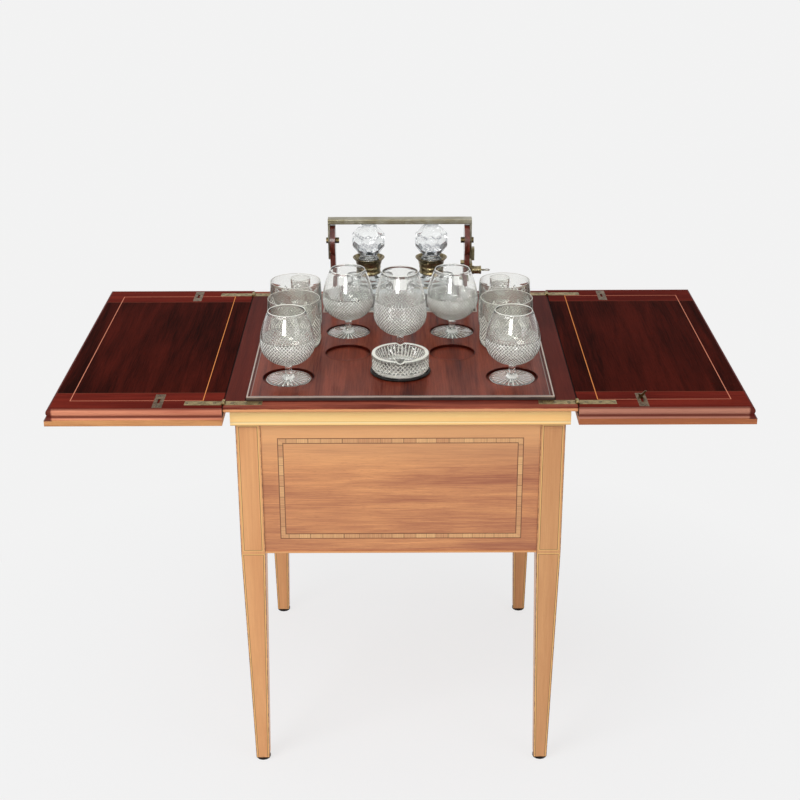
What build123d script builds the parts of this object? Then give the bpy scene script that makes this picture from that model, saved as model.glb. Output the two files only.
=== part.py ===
from build123d import *
import math
import os

# An inlaid drinks table whose top opens as two leaves, while a tray of glasses and a
# locked two-bottle tantalus rise out of the carcase.  Modelled open, tray up.
# X runs along the opened leaves, -Y is the front, Z is up from the floor.  Millimetres.

# Carcase and legs
TOP_Z = 683.0               # top of the frame round the tray
HINGE_X = 281.5             # hinge lines of the leaves, half the closed table's width
FRAME_HALF_Y = 292.0        # half depth of the top frame
RAIL_T = 8.0                # thickness of the mahogany top rails
RAIL_ROUND = 2.5
CORNICE_H = 26.0            # satinwood band under the rails
CORNICE_PROUD = 7.0         # beyond the faces of the legs
LEG_INSET_X = 17.5          # faces of the legs inside the hinge lines
LEG_INSET_Y = 16.0          # and inside the frame's front and back
LEG_W = 40.0
FOOT_W = 23.0               # legs taper to this at the floor
BOX_Z = 416.0               # underside of the box, where the taper starts
FLOOR_T = 8.0
FRONT_PANEL_T = 10.5
SIDE_PANEL_T = 12.5
PANEL_SETBACK = 1.5         # panels lie this far behind the leg faces
BEAD_H = 3.0
GLIDE_R = 12.5
GLIDE_H = 5.0

# Round pieces are many-sided, so that the model stays light
ROD_SIDES = 12
TURNED_SIDES = 20
RECESS_SIDES = 20

# Clearances
JOINT_GAP = 0.3             # between pieces that turn or slide past each other
PIN_GAP = 0.08              # radial, round pins and rods
TRAY_GAP = 2.0              # tray edge to the top rails
WELL_GAP = 4.0              # tray edge to the inside of the carcase
REST_GAP = 0.3              # under loose glasses, and between metal and glass
LID_GAP = 5.0               # above the lowered bail, under the closed leaves

# Leaves and their hinges
LEAF_T = 27.5
FACING_T = 10.5             # satinwood layer, the table's top when closed
FACING_OVERHANG = 8.0       # over the front and back of the frame
FACING_ROUND = 1.5
REVEAL_X = 3.5              # facing stands proud of the moulding's top edge
REVEAL_Y = 3.0
MOULD_T = 4.5
MOULD_TOE = 2.0             # how far the cove runs out over the facing
COVE_H = 7.1
COVE_DEPTH = 1.0
COVE_SAG = 0.8
SWELL_SAG = 2.0
SWELL_FALL = 2.5            # top edge of the swell behind its middle
CLAMP_W = 65.0              # cross-grained end boards of a leaf
STRAP_W = 17.0
STRAP_L = 62.0
STRAP_INSET = 12.5          # outer edge of a strap to the frame's front or back
PLATE_T = 1.8
KNUCKLE_R = 3.2
MID_KNUCKLE_L = 6.6
HINGE_PIN_R = 1.25
CATCH_X = 104.0             # centre of a catch plate from the hinge line
CATCH_W = 16.0
CATCH_L = 56.0
CATCH_INSET = 3.0           # end of a catch plate to the edge of the board
CATCH_T = 1.5
CATCH_SLOT_W = 4.0
CATCH_SLOT_L = 18.0
HOOK_H = 9.0
HOOK_T = 3.0
HOOK_FOOT = 3.0             # half length of the hook's foot
HOOK_LEAN = 6.0             # how far its long arm leans out
HOOK_BARB_H = 5.0
HOOK_OFF = 13.0             # from the middle of its catch plate

# Tray
TRAY_RISE = 5.0             # tray surface above the frame
BOARD_T = 4.0               # pierced top board, so also the depth of the recesses
TRAY_BASE_T = 7.0
RIM_T = 2.0
RIM_PROUD = 1.0
FRONT_RECESS_R = 42.5
RECESS_R = 39.0
TUMBLER_RECESS_R = 44.5
LIQUEUR_RECESS_R = 20.0

# Well at the back of the tray, and the tantalus that stands in it
BAY_D = 106.0               # front of the bay to the tray's back edge
WELL_DEPTH = 59.0           # tray surface down to the plinth
WELL_BOARD_T = 5.0
WELL_BACK_T = 4.0
WELL_FLOOR_T = 6.0
PLINTH_T = 5.0
PLINTH_HALF_X = 134.0
PLINTH_SIDE_GAP = 6.0       # to the bay's sides
PLINTH_D = 94.0
PLINTH_CHAMFER = 1.5
UPRIGHT_INSET = 5.5         # from the plinth's end
UPRIGHT_T = 9.5
UPRIGHT_FOOT_W = 64.0
UPRIGHT_FOOT_H = 24.0
UPRIGHT_WAIST_W = 34.0
UPRIGHT_WAIST_DROP = 45.0   # top of the taper below the pivot
UPRIGHT_HEAD_R = 29.0
BAIL_RISE = 42.0            # top of the bail above its pivots
BAIL_T = 9.5
BAIL_D = 20.0
BAIL_ROUND = 1.5
BAIL_STRAP_T = 3.6
BAIL_STRAP_TAIL = 35.0      # strap length below the pivot
BAIL_TAIL_W = 10.0
HASP_T = 5.5
HASP_W = 14.0
HASP_H = 24.0
HASP_DROP = 3.0             # below the strap's tail
HASP_ROUND = 2.0
PIVOT_BOLT_R = 3.0
BOLT_HEAD_R = 5.5
BOLT_HEAD_T = 3.5
NUT_L = 6.5
LOCK_DROP = 58.0            # lock barrel below the pivot
LOCK_CASE_H = 34.0
LOCK_CASE_W = 30.0
LOCK_CASE_T = 5.5
LOCK_NUT_R = 4.5
LOCK_NUT_OFF = 15.0         # above and below the barrel
BARREL_R = 8.0
BARREL_L = 17.0
KEY_WAY_L = 14.0
KEY_R = 1.8
KEY_IN = 9.6                # shank inside the barrel
KEY_OUT = 6.4
KEY_BOW_R = 5.5
KEY_BOW_W = 2.0
KEY_BOW_T = 1.6

# Decanters
DECANTER_X = 58.0
DECANTER_W = 88.0
DECANTER_H = 109.0
DECANTER_CORNER = 7.0
DECANTER_WALL = 7.0
DECANTER_BASE_T = 12.0
SHOULDER_T = 9.0
NECK_FOOT_R = 22.5
NECK_FOOT_H = 10.0
NECK_R = 19.0
NECK_H = 28.0
NECK_SIDES = 12
NECK_BORE_R = 12.0
COLLAR_T = 2.7
COLLAR_BAND_H = 12.0        # straight lower band
COLLAR_FLARE_H = 22.0       # where the lip starts
COLLAR_SWELL = 2.0
LIP_R = 29.5
LIP_PROUD = 2.0             # lip above the glass neck
LIP_T = 2.0
LIP_EDGE = 1.5
BALL_R = 31.0
BALL_SIDES = 10
BALL_TOP_R = 14.0           # flat crown of the stopper's ball
BALL_MID_R = 26.7
BALL_MID_H = 16.0           # facet rings above and below the middle
BALL_HALF_H = 27.0
BALL_SEAT = 34.0            # middle of the ball above the glass neck
PEG_L = 26.0
PEG_TAPER = 1.4
PEG_GAP = 0.8               # radial, so that the many-sided peg clears its many-sided bore

# Glasses
GLASS_SIDES = 14
GLASS_WALL = 1.8
BALLOON_FOOT_R = 37.0
FOOT_EDGE_T = 1.6
FOOT_RISE = 6.0             # where the foot meets the stem
STEM_R = 5.5
STEM_SPREAD = 2.0
STEM_LOW = 12.0
STEM_FLARE_H = 3.0
BALLOON_R = 45.5
BALLOON_RIM_R = 30.5
BALLOON_H = 120.0
BALLOON_BELLY = 64.0        # height of the widest ring
TALL_BALLOON_H = 150.0
TALL_BALLOON_BELLY = 74.0
BOWL_DEPTH = 37.0           # widest ring down to the stem
TUMBLER_R = 46.0
TUMBLER_H = 86.0
TUMBLER_FOOT_R = 38.0
TUMBLER_HEEL_R = 42.8
TUMBLER_HEEL_H = 4.0
TUMBLER_SIDE_H = 13.0       # where its straight side starts
TUMBLER_BAND_H = 18.0       # plain band at the rim
TUMBLER_STEP = 1.2
TUMBLER_WALL = 2.2
TUMBLER_BASE_T = 11.0
TUMBLER_FLOOR_R = 34.0
LIQUEUR_SIDES = 12
LIQUEUR_R = 18.5
LIQUEUR_H = 56.0
LIQUEUR_FOOT_R = 15.9
LIQUEUR_HEEL_H = 8.0
LIQUEUR_WALL = 2.0
LIQUEUR_BASE_T = 9.0
LIQUEUR_FLOOR_R = 13.5
ASHTRAY_R = 47.5
ASHTRAY_H = 30.0
ASHTRAY_FOOT_R = 44.0
ASHTRAY_HEEL_H = 6.0
ASHTRAY_FLOOR_R = 31.5
ASHTRAY_FLOOR_T = 9.0
ASHTRAY_WALL = 8.0
ASHTRAY_BASE_R = 50.0
ASHTRAY_BASE_H = 4.0
ASHTRAY_NOTCH_R = 4.5

# Places of the glasses on the tray, from its middle
FRONT_BALLOON = (184.0, -172.0)
MIDDLE_BALLOON = (92.0, 49.0)
TALL_BALLOON = (0.0, -58.0)
EMPTY_RECESS = (89.5, -58.0)
FRONT_TUMBLER = (184.0, -8.0)
BACK_TUMBLER = (187.0, 88.0)
LIQUEUR_GLASS = (185.0, 190.0)
ASHTRAY_Y = -148.0

# Scissor lift under the tray
ARM_L = 400.0               # between the end pivots
ARM_W = 14.0
ARM_T = 4.0
ARM_GAP = 2.0
ARM_BOSS = 3.5              # round the wide centre hole
ARM_PIVOT_X = -200.0
FRONT_ARM_Y = -200.0        # outer face of the front arm that is pivoted on the floor
LIFT_MID_Y = -50.0          # the rear arms mirror the front ones about this depth
ROD_R = 3.0
ROLLER_R = 5.0
ROLLER_L = 8.0
CHANNEL_T = 2.0
CHANNEL_X = (120.0, 212.0)
LUG_T = 6.0
LUG_W = 22.0
SPRING_R = 7.5
SPRING_L = 40.0
SPRING_OFF = 50.0           # from the mid depth to the near end of each spring

# Worked out from the sizes above
LEG_FACE_X = HINGE_X - LEG_INSET_X
LEG_FACE_Y = FRAME_HALF_Y - LEG_INSET_Y
CORNICE_HALF_X = LEG_FACE_X + CORNICE_PROUD
CORNICE_HALF_Y = LEG_FACE_Y + CORNICE_PROUD
CORNICE_TOP = TOP_Z - RAIL_T
LEG_TOP = CORNICE_TOP - CORNICE_H
FLOOR_TOP = BOX_Z + FLOOR_T
WELL_X = LEG_FACE_X - PANEL_SETBACK - SIDE_PANEL_T
WELL_Y = LEG_FACE_Y - PANEL_SETBACK - FRONT_PANEL_T
TRAY_HALF_X = WELL_X - WELL_GAP
TRAY_HALF_Y = WELL_Y - WELL_GAP
OPEN_X = TRAY_HALF_X + TRAY_GAP
OPEN_Y = TRAY_HALF_Y + TRAY_GAP
RAIL_END_X = HINGE_X - JOINT_GAP
AXIS_Z = TOP_Z + JOINT_GAP / 2
STRAP_Y = FRAME_HALF_Y - STRAP_INSET - STRAP_W / 2
LEAF_START = HINGE_X + JOINT_GAP
LEAF_END = 2 * HINGE_X - JOINT_GAP
LEAF_UNDER = TOP_Z - LEAF_T
FACING_TOP = LEAF_UNDER + FACING_T
FACING_HALF_Y = FRAME_HALF_Y + FACING_OVERHANG
BOARD_END = LEAF_END - REVEAL_X - MOULD_T
BOARD_HALF_Y = FACING_HALF_Y - REVEAL_Y - MOULD_T
CATCH_Y = BOARD_HALF_Y - CATCH_INSET - CATCH_L / 2
TRAY_TOP = TOP_Z + TRAY_RISE
RECESS_Z = TRAY_TOP - BOARD_T
TRAY_UNDER = RECESS_Z - TRAY_BASE_T
RIM_TOP = TRAY_TOP + RIM_PROUD
BAY_FRONT_Y = TRAY_HALF_Y - BAY_D
BAY_BACK_Y = TRAY_HALF_Y - RIM_T - WELL_BACK_T
PLINTH_TOP_Z = TRAY_TOP - WELL_DEPTH
WELL_FLOOR_TOP = PLINTH_TOP_Z - PLINTH_T
WELL_UNDER = WELL_FLOOR_TOP - WELL_FLOOR_T
TANTALUS_Y = BAY_BACK_Y - REST_GAP - PLINTH_D / 2
SHOULDER_Z = PLINTH_TOP_Z + DECANTER_H
COLLAR_Z = SHOULDER_Z + NECK_FOOT_H
NECK_TOP_Z = COLLAR_Z + NECK_H
PIVOT_Z = NECK_TOP_Z + BALL_SEAT
BAIL_TOP_Z = PIVOT_Z + BAIL_RISE
BAIL_UNDER = BAIL_TOP_Z - BAIL_T
UPRIGHT_WAIST_Z = PIVOT_Z - UPRIGHT_WAIST_DROP
BAY_HALF_X = PLINTH_HALF_X + PLINTH_SIDE_GAP
UPRIGHT_OUT = PLINTH_HALF_X - UPRIGHT_INSET
UPRIGHT_X = UPRIGHT_OUT - UPRIGHT_T         # inner face
STRAP_X = UPRIGHT_OUT + JOINT_GAP
STRAP_OUT = STRAP_X + BAIL_STRAP_T
LOCK_Z = PIVOT_Z - LOCK_DROP
GLASS_Z = RECESS_Z + REST_GAP
LIFT_TRAVEL = BAIL_TOP_Z - TOP_Z + LID_GAP
LIFT_FRONT_Y = FRONT_ARM_Y - ARM_GAP - ARM_T        # outer face of the front tray arm


def arm_angle(rise):
    """Slope of an arm, in radians, when its end pivots are this far apart in height."""
    return math.asin(rise / ARM_L)


def lift_mismatch(rise):
    """How far a straight-line ratio lags the arms at half travel."""
    low, high = rise - LIFT_TRAVEL, rise
    middle = (arm_angle(low) + arm_angle(high)) / 2
    return ARM_L * math.sin(middle) - (low + high) / 2


# The channels leave the rollers room for that lag, which narrows the lift a little and
# so changes the lag: a few rounds settle both.
LAG = 0.0
for _ in range(4):
    LIFT_RISE = TRAY_UNDER - FLOOR_TOP - 2 * (CHANNEL_T + ROLLER_R + 2 * JOINT_GAP + LAG)
    LAG = lift_mismatch(LIFT_RISE)
CHANNEL_H = 2 * ROLLER_R + LAG + 3 * JOINT_GAP
BASE_PIVOT_Z = FLOOR_TOP + CHANNEL_T + LAG + 2 * JOINT_GAP + ROLLER_R
TOP_PIVOT_Z = BASE_PIVOT_Z + LIFT_RISE
ARM_SLOPE = arm_angle(LIFT_RISE)
ARM_REACH = ARM_L * math.cos(ARM_SLOPE)


def block(x0, x1, y0, y1, z0, z1):
    """Rectangular solid between two corners."""
    centre = Pos((x0 + x1) / 2, (y0 + y1) / 2, (z0 + z1) / 2)
    return centre * Box(x1 - x0, y1 - y0, z1 - z0)


def bar(length, radius, turns):
    """Bar along Z: round where it turns in a bore, many-sided where it doesn't."""
    outline = Circle(radius) if turns else RegularPolygon(radius, ROD_SIDES)
    return extrude(outline, length)


def bore(length, radius):
    """Many-sided bore along Z, in which a pin of this radius turns."""
    return extrude(RegularPolygon(radius + PIN_GAP, ROD_SIDES, major_radius=False), length)


def along_x(x0, y, z, shape):
    """The shape, made along Z, laid along X from x0."""
    return Pos(x0, y, z) * Rot(0, 90, 0) * shape


def along_y(x, y0, z, shape):
    """The shape, made along Z, laid along Y from y0."""
    return Pos(x, y0, z) * Rot(-90, 0, 0) * shape


def cross_rod(x0, x1, y, z, radius, turns=False):
    """Bar along X."""
    return along_x(x0, y, z, bar(x1 - x0, radius, turns))


def deep_rod(x, y0, y1, z, radius, turns=False):
    """Bar along Y."""
    return along_y(x, y0, z, bar(y1 - y0, radius, turns))


def at_corner(shape, side_x, side_y):
    """Mirror a shape modelled at +X, +Y into the corner with these signs."""
    if side_x < 0:
        shape = mirror(shape, about=Plane.YZ)
    if side_y < 0:
        shape = mirror(shape, about=Plane.XZ)
    return shape


def facet_stack(rings, sides, hollow=False):
    """Flat-sided solid round Z through (radius, height) rings; a hollow one closes on its first ring."""
    turns = [2 * math.pi * side / sides for side in range(sides)]
    loops = [[Vector(radius * math.cos(turn), radius * math.sin(turn), height) for turn in turns]
             for radius, height in rings]
    pairs = list(zip(loops, loops[1:]))
    corners = [loops[0], loops[-1]]
    if hollow:
        pairs.append((loops[-1], loops[0]))
        corners = []
    for low, high in pairs:
        corners += [[low[k - 1], low[k], high[k], high[k - 1]] for k in range(sides)]
    return Solid(Shell([Face(Wire.make_polygon(points)) for points in corners]))


def save(name, *shapes):
    """Write one node, with each of its solids kept separate."""
    solids = [solid for shape in shapes for solid in shape.solids()]
    node = Compound(children=solids) if len(solids) > 1 else solids[0]
    node.label = name
    export_step(node, f"parts/{name}.step")


# ---------------------------------------------------------------- carcase

def leg():
    """Square leg at +X, +Y: an angle inside the box, tapering below it."""
    x0, y0 = LEG_FACE_X - LEG_W, LEG_FACE_Y - LEG_W
    shaft = block(x0, LEG_FACE_X, y0, LEG_FACE_Y, BOX_Z, LEG_TOP)
    shaft -= block(x0, WELL_X, y0, WELL_Y, FLOOR_TOP, LEG_TOP)
    centre = (LEG_FACE_X - LEG_W / 2, LEG_FACE_Y - LEG_W / 2)
    taper = facet_stack([(FOOT_W / math.sqrt(2), GLIDE_H), (LEG_W / math.sqrt(2), BOX_Z)], 4)
    return shaft + Pos(*centre) * Rot(0, 0, 45) * taper


def glide(side_x, side_y):
    """Turned glide under a foot."""
    x, y = LEG_FACE_X - LEG_W / 2, LEG_FACE_Y - LEG_W / 2
    return Pos(side_x * x, side_y * y) * facet_stack([(GLIDE_R, 0), (GLIDE_R, GLIDE_H)], ROD_SIDES)


def front_panel():
    """Panel at +Y between two legs."""
    half = LEG_FACE_X - LEG_W
    return block(-half, half, WELL_Y, LEG_FACE_Y - PANEL_SETBACK, BOX_Z, LEG_TOP)


def side_panel():
    """Panel at +X between two legs."""
    half = LEG_FACE_Y - LEG_W
    return block(WELL_X, LEG_FACE_X - PANEL_SETBACK, -half, half, BOX_Z, LEG_TOP)


def long_bead():
    """Bead along the foot of the panel at +Y, flush with the legs."""
    half = LEG_FACE_X - LEG_W
    return block(-half, half, LEG_FACE_Y - PANEL_SETBACK, LEG_FACE_Y, BOX_Z, BOX_Z + BEAD_H)


def side_bead():
    """Bead along the foot of the panel at +X."""
    half = LEG_FACE_Y - LEG_W
    return block(LEG_FACE_X - PANEL_SETBACK, LEG_FACE_X, -half, half, BOX_Z, BOX_Z + BEAD_H)


def box_floor():
    """Floor board, notched round the legs."""
    in_x, in_y = LEG_FACE_X - LEG_W, LEG_FACE_Y - LEG_W
    wide = block(-WELL_X, WELL_X, -in_y, in_y, BOX_Z, FLOOR_TOP)
    return wide + block(-in_x, in_x, -WELL_Y, WELL_Y, BOX_Z, FLOOR_TOP)


def knuckle_notch(side):
    """Room for a hinge knuckle in the frame (side -1) or the leaf (side +1), at +X, +Y."""
    reach = KNUCKLE_R + 2 * JOINT_GAP
    x0, x1 = sorted((HINGE_X, HINGE_X + side * reach))
    half = STRAP_W / 2 + JOINT_GAP
    low = AXIS_Z - KNUCKLE_R - JOINT_GAP
    return block(x0, x1, STRAP_Y - half, STRAP_Y + half, low, TOP_Z)


def plate_pocket(side):
    """Pocket that a hinge plate lies in, at +X, +Y."""
    x0, x1 = sorted((HINGE_X, HINGE_X + side * STRAP_L))
    half = STRAP_W / 2
    return block(x0, x1, STRAP_Y - half, STRAP_Y + half, TOP_Z - PLATE_T, TOP_Z)


def long_rail():
    """Top rail at +Y, rounded along its outer edge, cut for its two hinges."""
    rail = block(-RAIL_END_X, RAIL_END_X, OPEN_Y, FRAME_HALF_Y, CORNICE_TOP, TOP_Z)
    outer = rail.edges().filter_by(Axis.X).group_by(Axis.Y)[-1]
    rail = fillet(outer, RAIL_ROUND)
    for side in (-1, 1):
        rail -= at_corner(plate_pocket(-1), side, 1)
        rail -= at_corner(knuckle_notch(-1), side, 1)
    return rail


def side_rail():
    """Top rail at +X, between the long rails."""
    return block(OPEN_X, RAIL_END_X, -OPEN_Y, OPEN_Y, CORNICE_TOP, TOP_Z)


def long_cornice():
    """Cornice strip at +Y."""
    return block(-CORNICE_HALF_X, CORNICE_HALF_X, OPEN_Y, CORNICE_HALF_Y, LEG_TOP, CORNICE_TOP)


def side_cornice():
    """Cornice strip at +X."""
    return block(OPEN_X, CORNICE_HALF_X, -OPEN_Y, OPEN_Y, LEG_TOP, CORNICE_TOP)


# ---------------------------------------------------------------- hinges

def knuckle(y0, y1):
    """One barrel of a hinge at +X, without its bore."""
    return deep_rod(HINGE_X, y0, y1, AXIS_Z, KNUCKLE_R)


def hinge_plate(side, spans):
    """Inset plate at +X, +Y with barrels over the given spans of Y."""
    y0, y1 = STRAP_Y - STRAP_W / 2, STRAP_Y + STRAP_W / 2
    near = HINGE_X + side * (KNUCKLE_R + JOINT_GAP)
    xs = sorted((near, HINGE_X + side * STRAP_L))
    plate = block(*xs, y0, y1, TOP_Z - PLATE_T, TOP_Z)
    neck = sorted((HINGE_X, near))
    for low, high in spans:
        plate += block(*neck, low, high, TOP_Z - PLATE_T, TOP_Z) + knuckle(low, high)
    return plate - along_y(HINGE_X, y0, AXIS_Z, bore(STRAP_W, HINGE_PIN_R))


def frame_spans():
    """Y spans of the two barrels on the frame's plate."""
    middle = MID_KNUCKLE_L / 2 + JOINT_GAP
    end = STRAP_W / 2
    return [(STRAP_Y - end, STRAP_Y - middle), (STRAP_Y + middle, STRAP_Y + end)]


def leaf_spans():
    """Y span of the barrel on the leaf's strap."""
    return [(STRAP_Y - MID_KNUCKLE_L / 2, STRAP_Y + MID_KNUCKLE_L / 2)]


def hinge_pin():
    """Pin through one hinge, at +X, +Y."""
    y0, y1 = STRAP_Y - STRAP_W / 2, STRAP_Y + STRAP_W / 2
    return deep_rod(HINGE_X, y0, y1, AXIS_Z, HINGE_PIN_R, turns=True)


# ---------------------------------------------------------------- leaves (right one)

def leaf_core():
    """Board and its two cross-grained ends, cut for straps, knuckles and catches."""
    seam = BOARD_HALF_Y - CLAMP_W
    boards = [block(LEAF_START, BOARD_END, -seam, seam, FACING_TOP, TOP_Z)]
    for side in (-1, 1):
        clamp = block(LEAF_START, BOARD_END, seam, BOARD_HALF_Y, FACING_TOP, TOP_Z)
        clamp -= plate_pocket(1)
        clamp -= knuckle_notch(1)
        clamp -= catch_blank()
        boards.append(at_corner(clamp, 1, side))
    return boards


def leaf_facing():
    """Satinwood facing, the upper side of the closed table."""
    facing = block(LEAF_START, LEAF_END, -FACING_HALF_Y, FACING_HALF_Y, LEAF_UNDER, FACING_TOP)
    long_edges = facing.edges().filter_by(Axis.X).group_by(Axis.Z)[0]
    return fillet(long_edges, FACING_ROUND)


def moulding_section():
    """Swell over a cove, against the board's edge; X outwards, Y up."""
    height = TOP_Z - FACING_TOP
    toe, waist, crown = MOULD_T + MOULD_TOE, MOULD_T - COVE_DEPTH, MOULD_T - SWELL_FALL
    cove = SagittaArc((toe, 0), (waist, COVE_H), COVE_SAG)
    swell = SagittaArc((waist, COVE_H), (crown, height), -SWELL_SAG)
    back = Polyline((crown, height), (0, height), (0, 0), (toe, 0))
    return make_face(Curve() + cove + swell + back)


def leaf_moulding():
    """Moulding round three edges of a leaf, mitred at its corners."""
    route = Polyline((LEAF_START, -BOARD_HALF_Y), (BOARD_END, -BOARD_HALF_Y),
                     (BOARD_END, BOARD_HALF_Y), (LEAF_START, BOARD_HALF_Y))
    start = Plane(origin=(LEAF_START, -BOARD_HALF_Y, FACING_TOP), x_dir=(0, -1, 0), z_dir=(-1, 0, 0))
    path = Pos(0, 0, FACING_TOP) * route
    strip = sweep(start * moulding_section(), path=path, transition=Transition.RIGHT)
    pieces = [strip]
    for side in (-1, 1):
        mitre = Plane(origin=(BOARD_END, side * BOARD_HALF_Y, 0), z_dir=(1, -side, 0))
        pieces = [part for piece in pieces for part in split(piece, mitre, keep=Keep.BOTH).solids()]
    return pieces


def catch_blank():
    """Outline of a catch plate at +X, +Y, let into the leaf."""
    x = HINGE_X + CATCH_X
    y0, y1 = CATCH_Y - CATCH_L / 2, CATCH_Y + CATCH_L / 2
    return block(x - CATCH_W / 2, x + CATCH_W / 2, y0, y1, TOP_Z - CATCH_T, TOP_Z)


def catch_plate():
    """Catch plate with its slot."""
    x, half_w, half_l = HINGE_X + CATCH_X, CATCH_SLOT_W / 2, CATCH_SLOT_L / 2
    ys = (CATCH_Y - half_l, CATCH_Y + half_l)
    return catch_blank() - block(x - half_w, x + half_w, *ys, TOP_Z - CATCH_T, TOP_Z)


def catch_hook():
    """Bent hook on the catch, a short barb and a long leaning arm; at +X, +Y."""
    foot, lean, barb = HOOK_FOOT, HOOK_LEAN, HOOK_BARB_H
    outline = Polyline((-foot, 0), (foot, 0), (foot + lean, HOOK_H), (foot + lean - HOOK_T, HOOK_H),
                       (0, HOOK_T), (-foot, barb), (-foot - HOOK_T / 2, barb), (-foot, 0))
    origin = (HINGE_X + CATCH_X, CATCH_Y - HOOK_OFF, TOP_Z)
    plane = Plane(origin=origin, x_dir=(1, 0, 0), z_dir=(0, -1, 0))
    return extrude(plane * make_face(outline), HOOK_T)


# ---------------------------------------------------------------- tray

def recess_list():
    """Every recess of the tray as (x, y, radius)."""
    spots = [(*TALL_BALLOON, RECESS_R)]
    pairs = ((FRONT_BALLOON, FRONT_RECESS_R), (MIDDLE_BALLOON, RECESS_R), (EMPTY_RECESS, RECESS_R),
             (FRONT_TUMBLER, TUMBLER_RECESS_R), (BACK_TUMBLER, TUMBLER_RECESS_R),
             (LIQUEUR_GLASS, LIQUEUR_RECESS_R))
    for (x, y), radius in pairs:
        spots += [(x, y, radius), (-x, y, radius)]
    return spots


def tray_board():
    """Pierced top board, open at the back for the tantalus."""
    half_x, half_y = TRAY_HALF_X - RIM_T, TRAY_HALF_Y - RIM_T
    board = block(-half_x, half_x, -half_y, half_y, RECESS_Z, TRAY_TOP)
    bay = BAY_HALF_X + RIM_T
    board -= block(-bay, bay, BAY_FRONT_Y - RIM_T, half_y, RECESS_Z, TRAY_TOP)
    for x, y, radius in recess_list():
        board -= Pos(x, y, RECESS_Z) * extrude(RegularPolygon(radius, RECESS_SIDES), BOARD_T)
    return board


def tray_base():
    """Board under the pierced one, in three pieces round the bay."""
    half_x, half_y = TRAY_HALF_X - RIM_T, TRAY_HALF_Y - RIM_T
    boards = [block(-half_x, half_x, -half_y, BAY_FRONT_Y, TRAY_UNDER, RECESS_Z)]
    wing = block(BAY_HALF_X, half_x, BAY_FRONT_Y, half_y, TRAY_UNDER, RECESS_Z)
    return boards + [wing, mirror(wing, about=Plane.YZ)]


def tray_rim():
    """Metal edging round the tray and the bay."""
    in_x, in_y = TRAY_HALF_X - RIM_T, TRAY_HALF_Y - RIM_T
    long_strip = block(-TRAY_HALF_X, TRAY_HALF_X, in_y, TRAY_HALF_Y, TRAY_UNDER, RIM_TOP)
    side_strip = block(in_x, TRAY_HALF_X, -in_y, in_y, TRAY_UNDER, RIM_TOP)
    bay = BAY_HALF_X + RIM_T
    lip = block(-bay, bay, BAY_FRONT_Y - RIM_T, BAY_FRONT_Y, RECESS_Z, RIM_TOP)
    side_lip = block(BAY_HALF_X, bay, BAY_FRONT_Y, in_y, RECESS_Z, RIM_TOP)
    strips = [long_strip, mirror(long_strip, about=Plane.XZ), lip]
    for strip in (side_strip, side_lip):
        strips += [strip, mirror(strip, about=Plane.YZ)]
    return strips


def well_boards():
    """Walls and floor of the bay that holds the tantalus."""
    out_x = BAY_HALF_X + WELL_BOARD_T
    back = TRAY_HALF_Y - RIM_T
    front = block(-out_x, out_x, BAY_FRONT_Y - WELL_BOARD_T, BAY_FRONT_Y, WELL_UNDER, TRAY_UNDER)
    side = block(BAY_HALF_X, out_x, BAY_FRONT_Y, back, WELL_UNDER, TRAY_UNDER)
    rear = block(-BAY_HALF_X, BAY_HALF_X, BAY_BACK_Y, back, WELL_UNDER, TRAY_TOP)
    floor = block(-BAY_HALF_X, BAY_HALF_X, BAY_FRONT_Y, BAY_BACK_Y, WELL_UNDER, WELL_FLOOR_TOP)
    return [front, side, mirror(side, about=Plane.YZ), rear, floor]


# ---------------------------------------------------------------- tantalus

def plinth():
    """Base board of the tantalus."""
    y0, y1 = TANTALUS_Y - PLINTH_D / 2, TANTALUS_Y + PLINTH_D / 2
    board = block(-PLINTH_HALF_X, PLINTH_HALF_X, y0, y1, WELL_FLOOR_TOP, PLINTH_TOP_Z)
    return chamfer(board.edges().group_by(Axis.Z)[-1], PLINTH_CHAMFER)


def upright():
    """Shaped upright at +X, round-headed about the bail's pivot."""
    foot, waist = UPRIGHT_FOOT_W / 2, UPRIGHT_WAIST_W / 2
    knee = PLINTH_TOP_Z + UPRIGHT_FOOT_H
    shank = Polyline((-foot, PLINTH_TOP_Z), (foot, PLINTH_TOP_Z), (foot, knee), (waist, UPRIGHT_WAIST_Z),
                     (waist, PIVOT_Z), (-waist, PIVOT_Z), (-waist, UPRIGHT_WAIST_Z), (-foot, knee),
                     (-foot, PLINTH_TOP_Z))
    outline = make_face(shank) + Pos(0, PIVOT_Z) * Circle(UPRIGHT_HEAD_R)
    plane = Plane(origin=(UPRIGHT_X, TANTALUS_Y, 0), x_dir=(0, 1, 0), z_dir=(1, 0, 0))
    board = extrude(plane * outline, UPRIGHT_T)
    return board - along_x(UPRIGHT_X, TANTALUS_Y, PIVOT_Z, bore(UPRIGHT_T, PIVOT_BOLT_R))


def decanter(x):
    """Square cut-glass decanter, hollow, with its neck."""
    half = DECANTER_W / 2
    body = block(x - half, x + half, TANTALUS_Y - half, TANTALUS_Y + half, PLINTH_TOP_Z, SHOULDER_Z)
    body = chamfer(body.edges().filter_by(Axis.Z), DECANTER_CORNER)
    foot_z = COLLAR_Z
    neck = [(NECK_FOOT_R, SHOULDER_Z), (NECK_FOOT_R, foot_z), (NECK_R, foot_z), (NECK_R, NECK_TOP_Z)]
    body += Pos(x, TANTALUS_Y) * facet_stack(neck, NECK_SIDES)
    inner = half - DECANTER_WALL
    low, high = PLINTH_TOP_Z + DECANTER_BASE_T, SHOULDER_Z - SHOULDER_T
    body -= block(x - inner, x + inner, TANTALUS_Y - inner, TANTALUS_Y + inner, low, high)
    way = [(NECK_BORE_R, high), (NECK_BORE_R, NECK_TOP_Z)]
    return body - Pos(x, TANTALUS_Y) * facet_stack(way, NECK_SIDES)


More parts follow.
